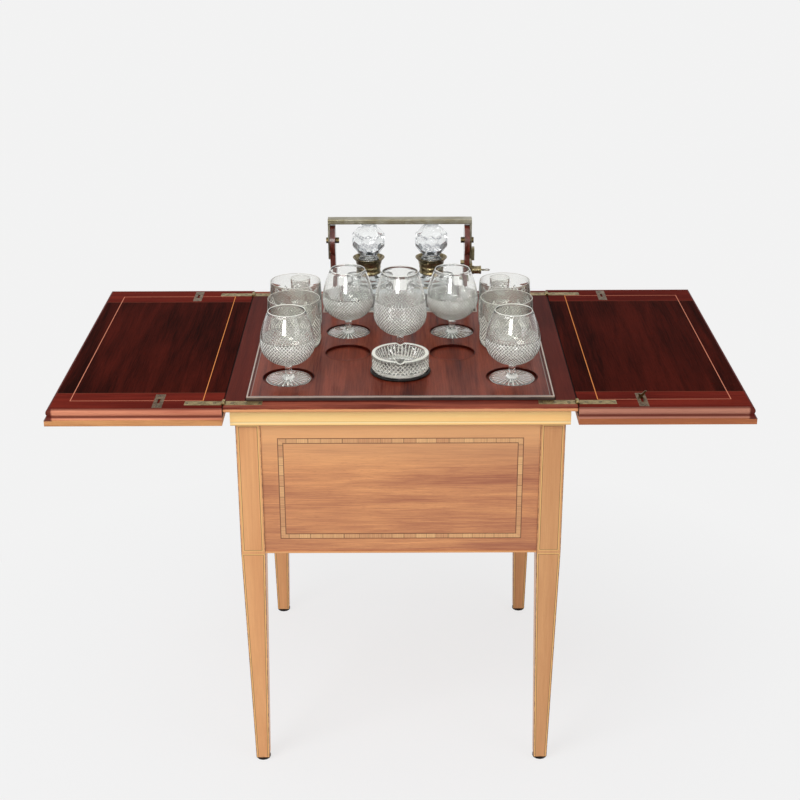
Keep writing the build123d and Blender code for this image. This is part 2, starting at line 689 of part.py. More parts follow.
def collar(x):
    """Turned metal collar with a flared lip, round a decanter's neck."""
    inner, lip_top = NECK_R + REST_GAP, NECK_TOP_Z + LIP_PROUD
    out, flare_z = inner + COLLAR_T, COLLAR_Z + COLLAR_FLARE_H
    outside = [(inner, COLLAR_Z), (out, COLLAR_Z), (out, COLLAR_Z + COLLAR_BAND_H),
               (out + COLLAR_SWELL, flare_z), (LIP_R, lip_top)]
    rings = outside + [(LIP_R - LIP_EDGE, lip_top + LIP_T), (out, flare_z + LIP_T), (inner, flare_z)]
    return Pos(x, TANTALUS_Y) * facet_stack(rings, TURNED_SIDES, hollow=True)


def stopper(x):
    """Faceted ball stopper on a ground peg."""
    seat, peg = NECK_TOP_Z + REST_GAP, NECK_BORE_R - PEG_GAP
    low, high = PIVOT_Z - BALL_HALF_H, PIVOT_Z + BALL_HALF_H
    rings = [(peg - PEG_TAPER, seat - PEG_L), (peg, seat), (BALL_TOP_R, seat), (BALL_TOP_R, low),
             (BALL_MID_R, PIVOT_Z - BALL_MID_H), (BALL_R, PIVOT_Z), (BALL_MID_R, PIVOT_Z + BALL_MID_H),
             (BALL_TOP_R, high)]
    return Pos(x, TANTALUS_Y) * facet_stack(rings, BALL_SIDES)


def bail_bar():
    """Carrying bar over the stoppers."""
    y0, y1 = TANTALUS_Y - BAIL_D / 2, TANTALUS_Y + BAIL_D / 2
    bar = block(-STRAP_OUT, STRAP_OUT, y0, y1, BAIL_UNDER, BAIL_TOP_Z)
    return fillet(bar.edges().filter_by(Axis.X), BAIL_ROUND)


def bail_strap():
    """Strap at +X from the bar down past the pivot."""
    half, tail, low = BAIL_D / 2, BAIL_TAIL_W / 2, PIVOT_Z - BAIL_STRAP_TAIL
    outline = Polyline((-half, BAIL_UNDER), (half, BAIL_UNDER), (half, PIVOT_Z), (tail, low), (-tail, low),
                       (-half, PIVOT_Z), (-half, BAIL_UNDER))
    plane = Plane(origin=(STRAP_X, TANTALUS_Y, 0), x_dir=(0, 1, 0), z_dir=(1, 0, 0))
    strap = extrude(plane * make_face(outline), BAIL_STRAP_T)
    return strap - along_x(STRAP_X, TANTALUS_Y, PIVOT_Z, bore(BAIL_STRAP_T, PIVOT_BOLT_R))


def hasp():
    """Thick tail of the right strap that drops into the lock."""
    low = PIVOT_Z - BAIL_STRAP_TAIL - HASP_DROP
    ys = (TANTALUS_Y - HASP_W / 2, TANTALUS_Y + HASP_W / 2)
    tail = block(STRAP_OUT, STRAP_OUT + HASP_T, *ys, low, low + HASP_H)
    return fillet(tail.edges().filter_by(Axis.X), HASP_ROUND)


def pivot_bolt(side):
    """Bolt and nut that carry the bail on one upright."""
    inner, outer = UPRIGHT_X - NUT_L, STRAP_OUT + JOINT_GAP + BOLT_HEAD_T
    shank = cross_rod(inner, outer, TANTALUS_Y, PIVOT_Z, PIVOT_BOLT_R, turns=True)
    head = cross_rod(outer - BOLT_HEAD_T, outer, TANTALUS_Y, PIVOT_Z, BOLT_HEAD_R)
    nut = cross_rod(inner, UPRIGHT_X, TANTALUS_Y, PIVOT_Z, BOLT_HEAD_R)
    bolt = shank + head + nut
    return bolt if side > 0 else mirror(bolt, about=Plane.YZ)


def lock_case():
    """Lock plate on the right upright, with its barrel, and its two nuts inside."""
    ys = (TANTALUS_Y - LOCK_CASE_W / 2, TANTALUS_Y + LOCK_CASE_W / 2)
    zs = (LOCK_Z - LOCK_CASE_H / 2, LOCK_Z + LOCK_CASE_H / 2)
    face = UPRIGHT_OUT + LOCK_CASE_T
    mouth = face + BARREL_L
    case = block(UPRIGHT_OUT, face, *ys, *zs) + cross_rod(face, mouth, TANTALUS_Y, LOCK_Z, BARREL_R)
    case -= along_x(mouth - KEY_WAY_L, TANTALUS_Y, LOCK_Z, bore(KEY_WAY_L, KEY_R))
    nuts = [cross_rod(UPRIGHT_X - NUT_L, UPRIGHT_X, TANTALUS_Y, LOCK_Z + side * LOCK_NUT_OFF, LOCK_NUT_R)
            for side in (-1, 1)]
    return [case] + nuts


def lock_key():
    """Small key with a round bow, standing in the lock barrel."""
    mouth = UPRIGHT_OUT + LOCK_CASE_T + BARREL_L
    shank = cross_rod(mouth - KEY_IN, mouth + KEY_OUT, TANTALUS_Y, LOCK_Z, KEY_R, turns=True)
    half, inner = KEY_BOW_T / 2, KEY_BOW_R - KEY_BOW_W
    rings = [(KEY_BOW_R, -half), (KEY_BOW_R, half), (inner, half), (inner, -half)]
    bow = facet_stack(rings, ROD_SIDES, hollow=True)
    return shank + Pos(mouth + KEY_OUT + KEY_BOW_R - KEY_BOW_W / 2, TANTALUS_Y, LOCK_Z) * bow


# ---------------------------------------------------------------- glasses

def bowl_rings(radius, rim, belly, depth, height):
    """Rings of a balloon's bowl: a quarter ellipse below its belly, a gentle taper above."""
    rings = []
    for turn in (25, 55):
        angle = math.radians(turn)
        rings.append((radius * math.sin(angle), belly - depth * math.cos(angle)))
    for share in (0.0, 0.35, 0.7, 1.0):
        rings.append((radius - (radius - rim) * share ** 1.7, belly + (height - belly) * share))
    return rings


def balloon(height, belly):
    """Brandy balloon standing on z = 0: foot, short stem and flat-sided bowl."""
    root, stem_top = STEM_R + STEM_SPREAD, belly - BOWL_DEPTH
    foot = [(BALLOON_FOOT_R, 0.0), (BALLOON_FOOT_R, FOOT_EDGE_T), (root, FOOT_RISE), (STEM_R, STEM_LOW)]
    stem = [(STEM_R, stem_top - STEM_FLARE_H), (root, stem_top)]
    outside = bowl_rings(BALLOON_R, BALLOON_RIM_R, belly, BOWL_DEPTH, height)
    inside = bowl_rings(BALLOON_R - GLASS_WALL, BALLOON_RIM_R - GLASS_WALL, belly,
                        BOWL_DEPTH - 2 * GLASS_WALL, height)
    return facet_stack(foot + stem + outside + inside[::-1], GLASS_SIDES)


def tumbler():
    """Heavy cut tumbler standing on z = 0, plain at the rim."""
    band_z, rim_r = TUMBLER_H - TUMBLER_BAND_H, TUMBLER_R - TUMBLER_STEP
    outside = [(TUMBLER_FOOT_R, 0.0), (TUMBLER_HEEL_R, TUMBLER_HEEL_H), (TUMBLER_R, TUMBLER_SIDE_H),
               (TUMBLER_R, band_z - TUMBLER_STEP), (rim_r, band_z), (rim_r, TUMBLER_H)]
    mouth = rim_r - TUMBLER_WALL
    inside = [(mouth, TUMBLER_H), (mouth - TUMBLER_STEP, TUMBLER_BASE_T + TUMBLER_HEEL_H),
              (TUMBLER_FLOOR_R, TUMBLER_BASE_T)]
    return facet_stack(outside + inside, GLASS_SIDES)


def liqueur_glass():
    """Small narrow glass standing on z = 0."""
    rings = [(LIQUEUR_FOOT_R, 0.0), (LIQUEUR_R, LIQUEUR_HEEL_H), (LIQUEUR_R, LIQUEUR_H),
             (LIQUEUR_R - LIQUEUR_WALL, LIQUEUR_H), (LIQUEUR_FLOOR_R, LIQUEUR_BASE_T)]
    return facet_stack(rings, LIQUEUR_SIDES)


def ashtray():
    """Cut ashtray with four rests in its rim."""
    rings = [(ASHTRAY_FOOT_R, 0.0), (ASHTRAY_R, ASHTRAY_HEEL_H), (ASHTRAY_R, ASHTRAY_H),
             (ASHTRAY_R - ASHTRAY_WALL, ASHTRAY_H), (ASHTRAY_FLOOR_R, ASHTRAY_FLOOR_T)]
    bowl = facet_stack(rings, GLASS_SIDES)
    bowl -= cross_rod(-ASHTRAY_R, ASHTRAY_R, 0, ASHTRAY_H, ASHTRAY_NOTCH_R)
    return bowl - deep_rod(0, -ASHTRAY_R, ASHTRAY_R, ASHTRAY_H, ASHTRAY_NOTCH_R)


# ---------------------------------------------------------------- lift

def both_planes(shapes):
    """The front pieces of the lift, and their mirror images at the rear."""
    middle = Plane.XZ.offset(-LIFT_MID_Y)
    return shapes + [mirror(shape, about=middle) for shape in shapes]


def across_lift(x, front_y, z):
    """Rod from a front depth to its mirror image at the rear."""
    return deep_rod(x, front_y, 2 * LIFT_MID_Y - front_y, z, ROD_R, turns=x == ARM_PIVOT_X)


def arm(z, slope, y, centre_hole, boss=0.0):
    """Flat arm from the pivot at height z, at depth y to y + ARM_T."""
    outline = Pos(ARM_L / 2, 0) * Rectangle(ARM_L, ARM_W)
    for spot in (0, ARM_L):
        outline += Pos(spot, 0) * RegularPolygon(ARM_W / 2, ROD_SIDES)
    if boss:
        outline += Pos(ARM_L / 2, 0) * RegularPolygon(boss, ROD_SIDES)
    for spot, radius in ((0, ROD_R + PIN_GAP), (ARM_L / 2, centre_hole), (ARM_L, ROD_R + PIN_GAP)):
        outline -= Pos(spot, 0) * RegularPolygon(radius, ROD_SIDES, major_radius=False)
    plane = Plane(origin=(ARM_PIVOT_X, y + ARM_T, z), z_dir=(0, -1, 0),
                  x_dir=(math.cos(slope), 0, math.sin(slope)))
    return extrude(plane * outline, ARM_T)


def floor_arms():
    """Arms pivoted on the box floor; the centre pin is fixed in them."""
    return both_planes([arm(BASE_PIVOT_Z, ARM_SLOPE, FRONT_ARM_Y, ROD_R)])


def tray_arms():
    """Arms pivoted under the tray, outside the others, with room round the centre pin."""
    hole = ROD_R + LAG + 2 * JOINT_GAP
    return both_planes([arm(TOP_PIVOT_Z, -ARM_SLOPE, LIFT_FRONT_Y, hole, hole + ARM_BOSS)])


def roller(y0, z):
    """Roller at the arms' free end."""
    x, ys = ARM_PIVOT_X + ARM_REACH, (y0, y0 + ROLLER_L)
    return deep_rod(x, *ys, z, ROLLER_R) - along_y(x, y0, z, bore(ROLLER_L, ROD_R))


def floor_arm_rods():
    """Lower cross rod, centre pins, and stub axles with rollers for the top channels."""
    start = FRONT_ARM_Y + ARM_T + JOINT_GAP
    stub = deep_rod(ARM_PIVOT_X + ARM_REACH, FRONT_ARM_Y, start + ROLLER_L, TOP_PIVOT_Z, ROD_R)
    middle_z = (BASE_PIVOT_Z + TOP_PIVOT_Z) / 2
    pin = deep_rod(ARM_PIVOT_X + ARM_REACH / 2, LIFT_FRONT_Y, FRONT_ARM_Y + ARM_T, middle_z, ROD_R)
    pieces = both_planes([stub, roller(start, TOP_PIVOT_Z), pin])
    return pieces + [across_lift(ARM_PIVOT_X, FRONT_ARM_Y, BASE_PIVOT_Z)]


def tray_arm_rods():
    """Upper cross rod, and the cross rod with rollers for the floor channels."""
    end = LIFT_FRONT_Y - JOINT_GAP
    pieces = both_planes([roller(end - ROLLER_L, BASE_PIVOT_Z)])
    pieces.append(across_lift(ARM_PIVOT_X, end - LUG_T, TOP_PIVOT_Z))
    return pieces + [across_lift(ARM_PIVOT_X + ARM_REACH, end - ROLLER_L, BASE_PIVOT_Z)]


def channel(y, side, z0):
    """Roller channel from depth y towards side, open at y, its underside at z0."""
    depth = ROLLER_L + 2 * JOINT_GAP
    ys = sorted((y, y + side * (depth + CHANNEL_T)))
    cut = sorted((y, y + side * depth))
    height = CHANNEL_H + 2 * CHANNEL_T
    trough = block(*CHANNEL_X, *ys, z0, z0 + height)
    return trough - block(*CHANNEL_X, *cut, z0 + CHANNEL_T, z0 + height - CHANNEL_T)


def lug(y0, z0, z1, pivot_z):
    """Pivot lug at the arms' fixed end."""
    ear = block(ARM_PIVOT_X - LUG_W / 2, ARM_PIVOT_X + LUG_W / 2, y0, y0 + LUG_T, z0, z1)
    return ear - along_y(ARM_PIVOT_X, y0, pivot_z, bore(LUG_T, ROD_R))


def base_fittings():
    """Lugs and channels screwed to the box floor."""
    ear = lug(FRONT_ARM_Y + ARM_T + JOINT_GAP, FLOOR_TOP, BASE_PIVOT_Z + LUG_W / 2, BASE_PIVOT_Z)
    return both_planes([ear, channel(LIFT_FRONT_Y - JOINT_GAP, -1, FLOOR_TOP)])


def top_fittings():
    """Lugs and channels screwed under the tray."""
    outer = LIFT_FRONT_Y - JOINT_GAP - LUG_T
    ear = lug(outer, TOP_PIVOT_Z - LUG_W / 2, TRAY_UNDER, TOP_PIVOT_Z)
    low = TRAY_UNDER - CHANNEL_H - 2 * CHANNEL_T
    return both_planes([ear, channel(FRONT_ARM_Y + ARM_T + JOINT_GAP, 1, low)])


def lift_springs():
    """Spring barrels round the lower cross rod, footed on the floor."""
    y0, y1 = LIFT_MID_Y - SPRING_OFF - SPRING_L, LIFT_MID_Y - SPRING_OFF
    barrel = deep_rod(ARM_PIVOT_X, y0, y1, BASE_PIVOT_Z, SPRING_R)
    foot = block(ARM_PIVOT_X - SPRING_R, ARM_PIVOT_X + SPRING_R, y0, y1, FLOOR_TOP, BASE_PIVOT_Z)
    return both_planes([barrel + foot - along_y(ARM_PIVOT_X, y0, BASE_PIVOT_Z, bore(SPRING_L, ROD_R))])


# ---------------------------------------------------------------- build

def build_carcase():
    """Legs, panels, rails, hinges and the fixed half of the lift."""
    for side_y, depth in ((-1, "front"), (1, "back")):
        for side_x, width in ((-1, "left"), (1, "right")):
            save(f"{depth}_{width}_leg", at_corner(leg(), side_x, side_y))
        save(f"{depth}_panel", at_corner(front_panel(), 1, side_y))
    save("left_panel", at_corner(side_panel(), -1, 1))
    save("right_panel", side_panel())
    pairs = [(long_bead(), side_bead()), (long_rail(), side_rail()), (long_cornice(), side_cornice())]
    names = ("panel_beads", "top_rails", "cornice_strips")
    for name, (long_piece, side_piece) in zip(names, pairs):
        save(name, long_piece, at_corner(long_piece, 1, -1), side_piece, at_corner(side_piece, -1, 1))
    save("box_floor", box_floor())
    corners = [(x, y) for x in (-1, 1) for y in (-1, 1)]
    save("foot_glides", *[glide(x, y) for x, y in corners])
    save("frame_hinge_plates", *[at_corner(hinge_plate(-1, frame_spans()), x, y) for x, y in corners])
    save("hinge_pins", *[at_corner(hinge_pin(), x, y) for x, y in corners])
    save("lift_base_fittings", *base_fittings())
    save("lift_springs", *lift_springs())


def build_leaf(name, side_x):
    """One leaf with its straps and catches; modelled on the right, mirrored to the left."""
    catches = [at_corner(catch_plate(), 1, side) for side in (-1, 1)]
    if side_x > 0:
        catches.append(at_corner(catch_hook(), 1, -1))
    groups = {"boards": leaf_core(), "moulding": leaf_moulding(), "facing": [leaf_facing()],
              "straps": [at_corner(hinge_plate(1, leaf_spans()), 1, side) for side in (-1, 1)],
              "catches": catches}
    for group, pieces in groups.items():
        save(f"{name}_leaf_{group}", *[at_corner(piece, side_x, 1) for piece in pieces])


def build_tray():
    """Tray, well, tantalus and the moving half of the lift."""
    save("tray_board", tray_board())
    save("tray_base", *tray_base())
    save("tray_rim", *tray_rim())
    save("well_boards", *well_boards())
    save("lift_top_fittings", *top_fittings())
    save("tantalus_plinth", plinth())
    save("tantalus_uprights", upright(), mirror(upright(), about=Plane.YZ))
    save("left_decanter", decanter(-DECANTER_X))
    save("right_decanter", decanter(DECANTER_X))
    save("decanter_collars", collar(-DECANTER_X), collar(DECANTER_X))
    save("stoppers", stopper(-DECANTER_X), stopper(DECANTER_X))
    save("pivot_bolts", pivot_bolt(-1), pivot_bolt(1))
    save("tantalus_lock", *lock_case())
    save("lock_key", lock_key())
    save("bail_bar", bail_bar())
    save("bail_straps", mirror(bail_strap(), about=Plane.YZ), bail_strap() + hasp())


def build_lift():
    """The two sets of crossed arms."""
    save("floor_lift_arms", *floor_arms())
    save("floor_arm_rods", *floor_arm_rods())
    save("tray_lift_arms", *tray_arms())
    save("tray_arm_rods", *tray_arm_rods())


def build_glasses():
    """Loose glasses, each standing in its recess."""
    sets = (("front", "balloon", FRONT_BALLOON, balloon(BALLOON_H, BALLOON_BELLY)),
            ("middle", "balloon", MIDDLE_BALLOON, balloon(BALLOON_H, BALLOON_BELLY)),
            ("front", "tumbler", FRONT_TUMBLER, tumbler()),
            ("back", "tumbler", BACK_TUMBLER, tumbler()),
            ("back", "liqueur_glass", LIQUEUR_GLASS, liqueur_glass()))
    for row, kind, (x, y), glass in sets:
        save(f"{row}_left_{kind}", Pos(-x, y, GLASS_Z) * glass)
        save(f"{row}_right_{kind}", Pos(x, y, GLASS_Z) * glass)
    save("tall_balloon", Pos(*TALL_BALLOON, GLASS_Z) * balloon(TALL_BALLOON_H, TALL_BALLOON_BELLY))
    seat = TRAY_TOP + REST_GAP
    base = facet_stack([(ASHTRAY_BASE_R, 0.0), (ASHTRAY_BASE_R, ASHTRAY_BASE_H)], RECESS_SIDES)
    save("ashtray_base", Pos(0, ASHTRAY_Y, seat) * base)
    save("ashtray_bowl", Pos(0, ASHTRAY_Y, seat + ASHTRAY_BASE_H) * ashtray())


os.makedirs("parts", exist_ok=True)
build_carcase()
build_leaf("left", -1)
build_leaf("right", 1)
build_tray()
build_lift()
build_glasses()
print("lift: base pivot", round(BASE_PIVOT_Z, 3), "top pivot", round(TOP_PIVOT_Z, 3),
      "slope deg", round(math.degrees(ARM_SLOPE), 3), "lowered deg",
      round(math.degrees(arm_angle(LIFT_RISE - LIFT_TRAVEL)), 3), "lag", round(LAG, 3))
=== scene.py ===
"""Looks of an inlaid drinks table whose two leaves open as a tray of glasses rises."""

import math

import bmesh
import bpy
from bpy.props import FloatProperty, FloatVectorProperty, IntProperty, PointerProperty
from bpy.types import NodeSocket, Operator, Panel, PropertyGroup
from mathutils import Matrix, Vector


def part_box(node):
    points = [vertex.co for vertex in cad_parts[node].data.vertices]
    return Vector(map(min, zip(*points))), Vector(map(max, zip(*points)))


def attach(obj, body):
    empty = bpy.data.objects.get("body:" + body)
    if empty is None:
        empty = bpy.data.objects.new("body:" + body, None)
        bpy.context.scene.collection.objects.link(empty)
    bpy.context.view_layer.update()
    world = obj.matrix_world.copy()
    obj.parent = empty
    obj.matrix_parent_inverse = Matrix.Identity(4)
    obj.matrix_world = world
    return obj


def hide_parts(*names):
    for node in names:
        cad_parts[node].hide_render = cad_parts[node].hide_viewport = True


bl_info = {
    "name": "Surprise Drinks Table",
    "version": (1, 0, 0),
    "blender": (4, 5, 0),
    "location": "View3D > Sidebar > Drinks Table",
    "description": "Dresses an inlaid drinks table with its cut glass, brass and polished wood",
    "category": "Object",
}

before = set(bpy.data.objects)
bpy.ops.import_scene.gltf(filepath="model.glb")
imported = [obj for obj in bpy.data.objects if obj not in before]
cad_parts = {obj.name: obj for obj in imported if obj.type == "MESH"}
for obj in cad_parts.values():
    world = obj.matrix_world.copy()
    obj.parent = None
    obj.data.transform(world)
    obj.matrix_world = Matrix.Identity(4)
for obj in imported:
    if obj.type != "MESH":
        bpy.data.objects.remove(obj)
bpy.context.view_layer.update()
MM = 0.001
SIDES = {"left": -1, "right": 1}


def tint(red, green, blue):
    """Linear colour of an eight-bit one."""
    def linear(value):
        share = value / 255
        return share / 12.92 if share <= 0.04045 else ((share + 0.055) / 1.055) ** 2.4
    return (linear(red), linear(green), linear(blue), 1.0)


def blend_tints(first, second, share):
    """Colour between two others."""
    return tuple(a + (b - a) * share for a, b in zip(first, second))


def middle(node):
    """Centre of a node's box, on its lowest plane."""
    low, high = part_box(node)
    return Vector(((low[0] + high[0]) / 2, (low[1] + high[1]) / 2, low[2]))


def colour_prop(name, description, value):
    """A colour that a user may change."""
    return FloatVectorProperty(name=name, description=description, subtype="COLOR", size=4,
                               min=0.0, max=1.0, default=value)


def length_prop(name, description, value):
    """A length in metres that a user may change."""
    return FloatProperty(name=name, description=description, unit="LENGTH", min=0.0, default=value)


class TableSizes(PropertyGroup):
    """Small sizes of the cutting, the inlay and the brasswork."""
    cut_depth: length_prop("Cut depth", "Depth of the diamond cutting on the glasses", 0.7 * MM)
    plate_bevel: length_prop("Plate edge", "Softened edge of the hinge plates", 0.3 * MM)
    band_width: length_prop("Band width", "Width of the crossbanded border on a panel", 8.4 * MM)
    string_width: length_prop("String width", "Width of the light inlaid lines", 1.3 * MM)
    panel_inset: length_prop("Panel inset", "Panel edge to the crossbanded border", 26.6 * MM)
    leg_inset: length_prop("Leg inset", "Leg edge to its inlaid line", 4.2 * MM)
    balloon_cuts: IntProperty(name="Balloon cuts", description="Diamonds round a balloon glass", default=48)
    tumbler_cuts: IntProperty(name="Tumbler cuts", description="Diamonds round a tumbler", default=44)


class TableColours(PropertyGroup):
    """Colours of the woods, inlays, metals and glass."""
    satin_light: colour_prop("Satinwood light", "Light figure of the legs", tint(238, 178, 120))
    satin_dark: colour_prop("Satinwood dark", "Dark figure of the legs", tint(208, 142, 90))
    cornice_light: colour_prop("Cornice light", "Light figure of the cornice", tint(255, 218, 146))
    cornice_dark: colour_prop("Cornice dark", "Dark figure of the cornice", tint(255, 200, 126))
    panel_light: colour_prop("Panel light", "Light figure of the panels", tint(224, 156, 102))
    panel_dark: colour_prop("Panel dark", "Dark figure of the panels", tint(156, 90, 66))
    band_light: colour_prop("Band light", "Light segments of the crossbanding", tint(230, 180, 124))
    band_dark: colour_prop("Band dark", "Dark segments of the crossbanding", tint(186, 124, 86))
    line_dark: colour_prop("Dark line", "Stained lines beside the inlay", tint(94, 58, 34))
    string_light: colour_prop("Boxwood string", "Light inlaid lines", tint(242, 196, 120))
    string_orange: colour_prop("Leaf string", "Inlaid line beside the hinge", tint(232, 146, 84))
    string_pink: colour_prop("Outer string", "Other inlaid lines of the leaves", tint(222, 140, 112))
    mahogany_light: colour_prop("Mahogany light", "Light figure of the leaves", tint(76, 23, 15))
    mahogany_dark: colour_prop("Mahogany dark", "Dark figure of the leaves", tint(33, 7, 4))
    clamp_light: colour_prop("Clamp light", "Light figure of the leaf ends", tint(122, 42, 31))
    clamp_dark: colour_prop("Clamp dark", "Dark figure of the leaf ends", tint(84, 24, 19))
    tray_light: colour_prop("Tray light", "Light figure of the tray", tint(132, 60, 42))
    tray_dark: colour_prop("Tray dark", "Dark figure of the tray", tint(66, 22, 16))
    # On the mouldings this light is partly worn wood, partly a painted highlight on their swell.
    moulding_light: colour_prop("Moulding light", "Worn faces of the mouldings", tint(232, 156, 122))
    moulding_dark: colour_prop("Moulding dark", "Darker figure of the mouldings", tint(184, 108, 84))
    # Greyer tone that the right moulding is blended towards.
    moulding_grey: colour_prop("Moulding grey", "Faded tone of the right moulding", tint(150, 118, 108))
    rail_light: colour_prop("Rail light", "Light figure of the front rail", tint(160, 84, 64))
    rail_dark: colour_prop("Rail dark", "Dark figure of the front rail", tint(104, 46, 37))
    side_rail_light: colour_prop("Side rail light", "Light figure of the side rails", tint(102, 38, 28))
    side_rail_dark: colour_prop("Side rail dark", "Dark figure of the side rails", tint(68, 20, 14))
    brass: colour_prop("Brass", "Clean brass", tint(164, 142, 90))
    brass_tarnish: colour_prop("Brass tarnish", "Old brass", tint(112, 96, 60))
    catch: colour_prop("Catch", "Dull brass of the catches", tint(116, 88, 50))
    catch_tarnish: colour_prop("Catch tarnish", "Dark brass of the catches", tint(66, 46, 28))
    nickel: colour_prop("Nickel", "Worn plate of the bail", tint(170, 166, 150))
    nickel_tarnish: colour_prop("Nickel tarnish", "Brass showing through the plate", tint(128, 119, 90))
    collar: colour_prop("Collar", "Worn plate of the collars", tint(166, 152, 116))
    collar_tarnish: colour_prop("Collar tarnish", "Dark plate of the collars", tint(72, 61, 44))
    edging: colour_prop("Edging", "Metal edging of the tray", tint(150, 146, 138))
    # Painted shade on the side of the tray's rim and a painted highlight on its top.
    edging_tarnish: colour_prop("Edging tarnish", "Dark metal of the edging", tint(72, 62, 56))
    rim_light: colour_prop("Rim light", "Worn upper edge of the tray's rim", tint(186, 168, 156))
    # Partly worn light wood, partly a painted highlight on the rails' front edge.
    rail_edge: colour_prop("Rail edge", "Light wood of the rails' front edge", tint(222, 162, 122))
    steel: colour_prop("Steel", "Steel of the lift", tint(150, 150, 148))
    steel_dark: colour_prop("Steel dark", "Oiled steel", tint(70, 68, 64))
    glass: colour_prop("Glass", "Body of the glasses", tint(253, 253, 251))
    # Painted shade of the faces between cuts, and painted glints along grooves and rims of the glass.
    cut_face: colour_prop("Cut faces", "Faces between the grooves of the cutting", tint(112, 110, 104))
    cut_line: colour_prop("Cut lines", "Sparkle along grooves and rims", tint(252, 252, 246))
    warm_line: colour_prop("Warm lines", "Sparkle of the tumblers and the ashtray", tint(251, 250, 240))
    ashtray_face: colour_prop("Ashtray faces", "Faces between the cuts of the ashtray", tint(58, 54, 46))
    thick_glass: colour_prop("Thick glass", "Body of the decanters", tint(226, 229, 229))
    # Painted shade on the stoppers' lower facets.
    stopper_shade: colour_prop("Stopper shade", "Lower facets of the stoppers", tint(92, 98, 108))


class StageSettings(PropertyGroup):
    """Camera, lamps and backdrop."""
    lens: FloatProperty(name="Lens", description="Focal length in millimetres", default=67.84)
    distance: length_prop("Camera distance", "Camera in front of the table's middle", 2.4836)
    height: length_prop("Camera height", "Camera above the floor", 1.603)
    tilt: FloatProperty(name="Tilt", description="Camera's turn about X", subtype="ANGLE",
                        default=math.radians(67.52))
    roll: FloatProperty(name="Roll", description="Camera's turn about its view", subtype="ANGLE",
                        default=-0.0033)
    key: FloatProperty(name="Key", description="Power of the large lamp", default=48.0)
    fill: FloatProperty(name="Fill", description="Power of the filling lamp", default=11.0)
    sky: FloatProperty(name="Sky", description="Strength of the surrounding light", default=0.62)
    backdrop: FloatProperty(name="Backdrop", description="Brightness of the backdrop", default=0.89)
    floor: colour_prop("Floor", "Colour of the floor", (0.93, 0.95, 0.98, 1.0))
    floor_glow: FloatProperty(name="Floor glow", description="Share of the backdrop in the near floor", default=0.80)
    window: FloatProperty(name="Window", description="Power of the strip that the glass mirrors", default=38.0)


# ---------------------------------------------------------------- node helpers

def put(tree, kind, inputs=None, **settings):
    """Adds a shader node, links or sets its inputs, and returns it."""
    made = tree.nodes.new("ShaderNode" + kind)
    for name, value in settings.items():
        setattr(made, name, value)
    for key, value in (inputs or {}).items():
        if isinstance(value, NodeSocket):
            tree.links.new(value, made.inputs[key])
        else:
            made.inputs[key].default_value = value
    return made


def calc(tree, operation, *values):
    """Output of a math node."""
    return put(tree, "Math", dict(enumerate(values)), operation=operation).outputs[0]


def blend_colour(tree, mask, first, second, blend_type="MIX"):
    """Mixes two colours by a mask."""
    mixed = put(tree, "Mix", {0: mask, 6: first, 7: second}, data_type="RGBA", blend_type=blend_type)
    return mixed.outputs[2]


def fit_range(tree, value, low, high, to_low=0.0, to_high=1.0):
    """Maps a value from one range to another, clamped."""
    return put(tree, "MapRange", {0: value, 1: low, 2: high, 3: to_low, 4: to_high}).outputs[0]


def noise(tree, vector, scale, detail=3.0, roughness=0.5, distortion=0.0):
    """Noise value at a vector."""
    inputs = {"Vector": vector, "Scale": scale, "Detail": detail, "Roughness": roughness,
              "Distortion": distortion}
    return put(tree, "TexNoise", inputs).outputs[0]


def stretched(tree, vector, factors):
    """Vector with each part multiplied."""
    return put(tree, "VectorMath", {0: vector, 1: factors}, operation="MULTIPLY").outputs[0]


def new_group(name, inputs, outputs):
    """Empty node group with the given sockets, and its input and output nodes."""
    group = bpy.data.node_groups.new(name, "ShaderNodeTree")
    for socket, kind in inputs:
        group.interface.new_socket(name=socket, in_out="INPUT", socket_type=kind)
    for socket, kind in outputs:
        group.interface.new_socket(name=socket, in_out="OUTPUT", socket_type=kind)
    return group, group.nodes.new("NodeGroupInput").outputs, group.nodes.new("NodeGroupOutput").inputs


def use_group(tree, name, inputs):
    """Places a node group and returns its outputs."""
    made = tree.nodes.new("ShaderNodeGroup")
    made.node_tree = bpy.data.node_groups[name]
    for key, value in inputs.items():
        if isinstance(value, NodeSocket):
            tree.links.new(value, made.inputs[key])
        else:
            made.inputs[key].default_value = value
    return made.outputs


COLOUR, VALUE, VECTOR = "NodeSocketColor", "NodeSocketFloat", "NodeSocketVector"


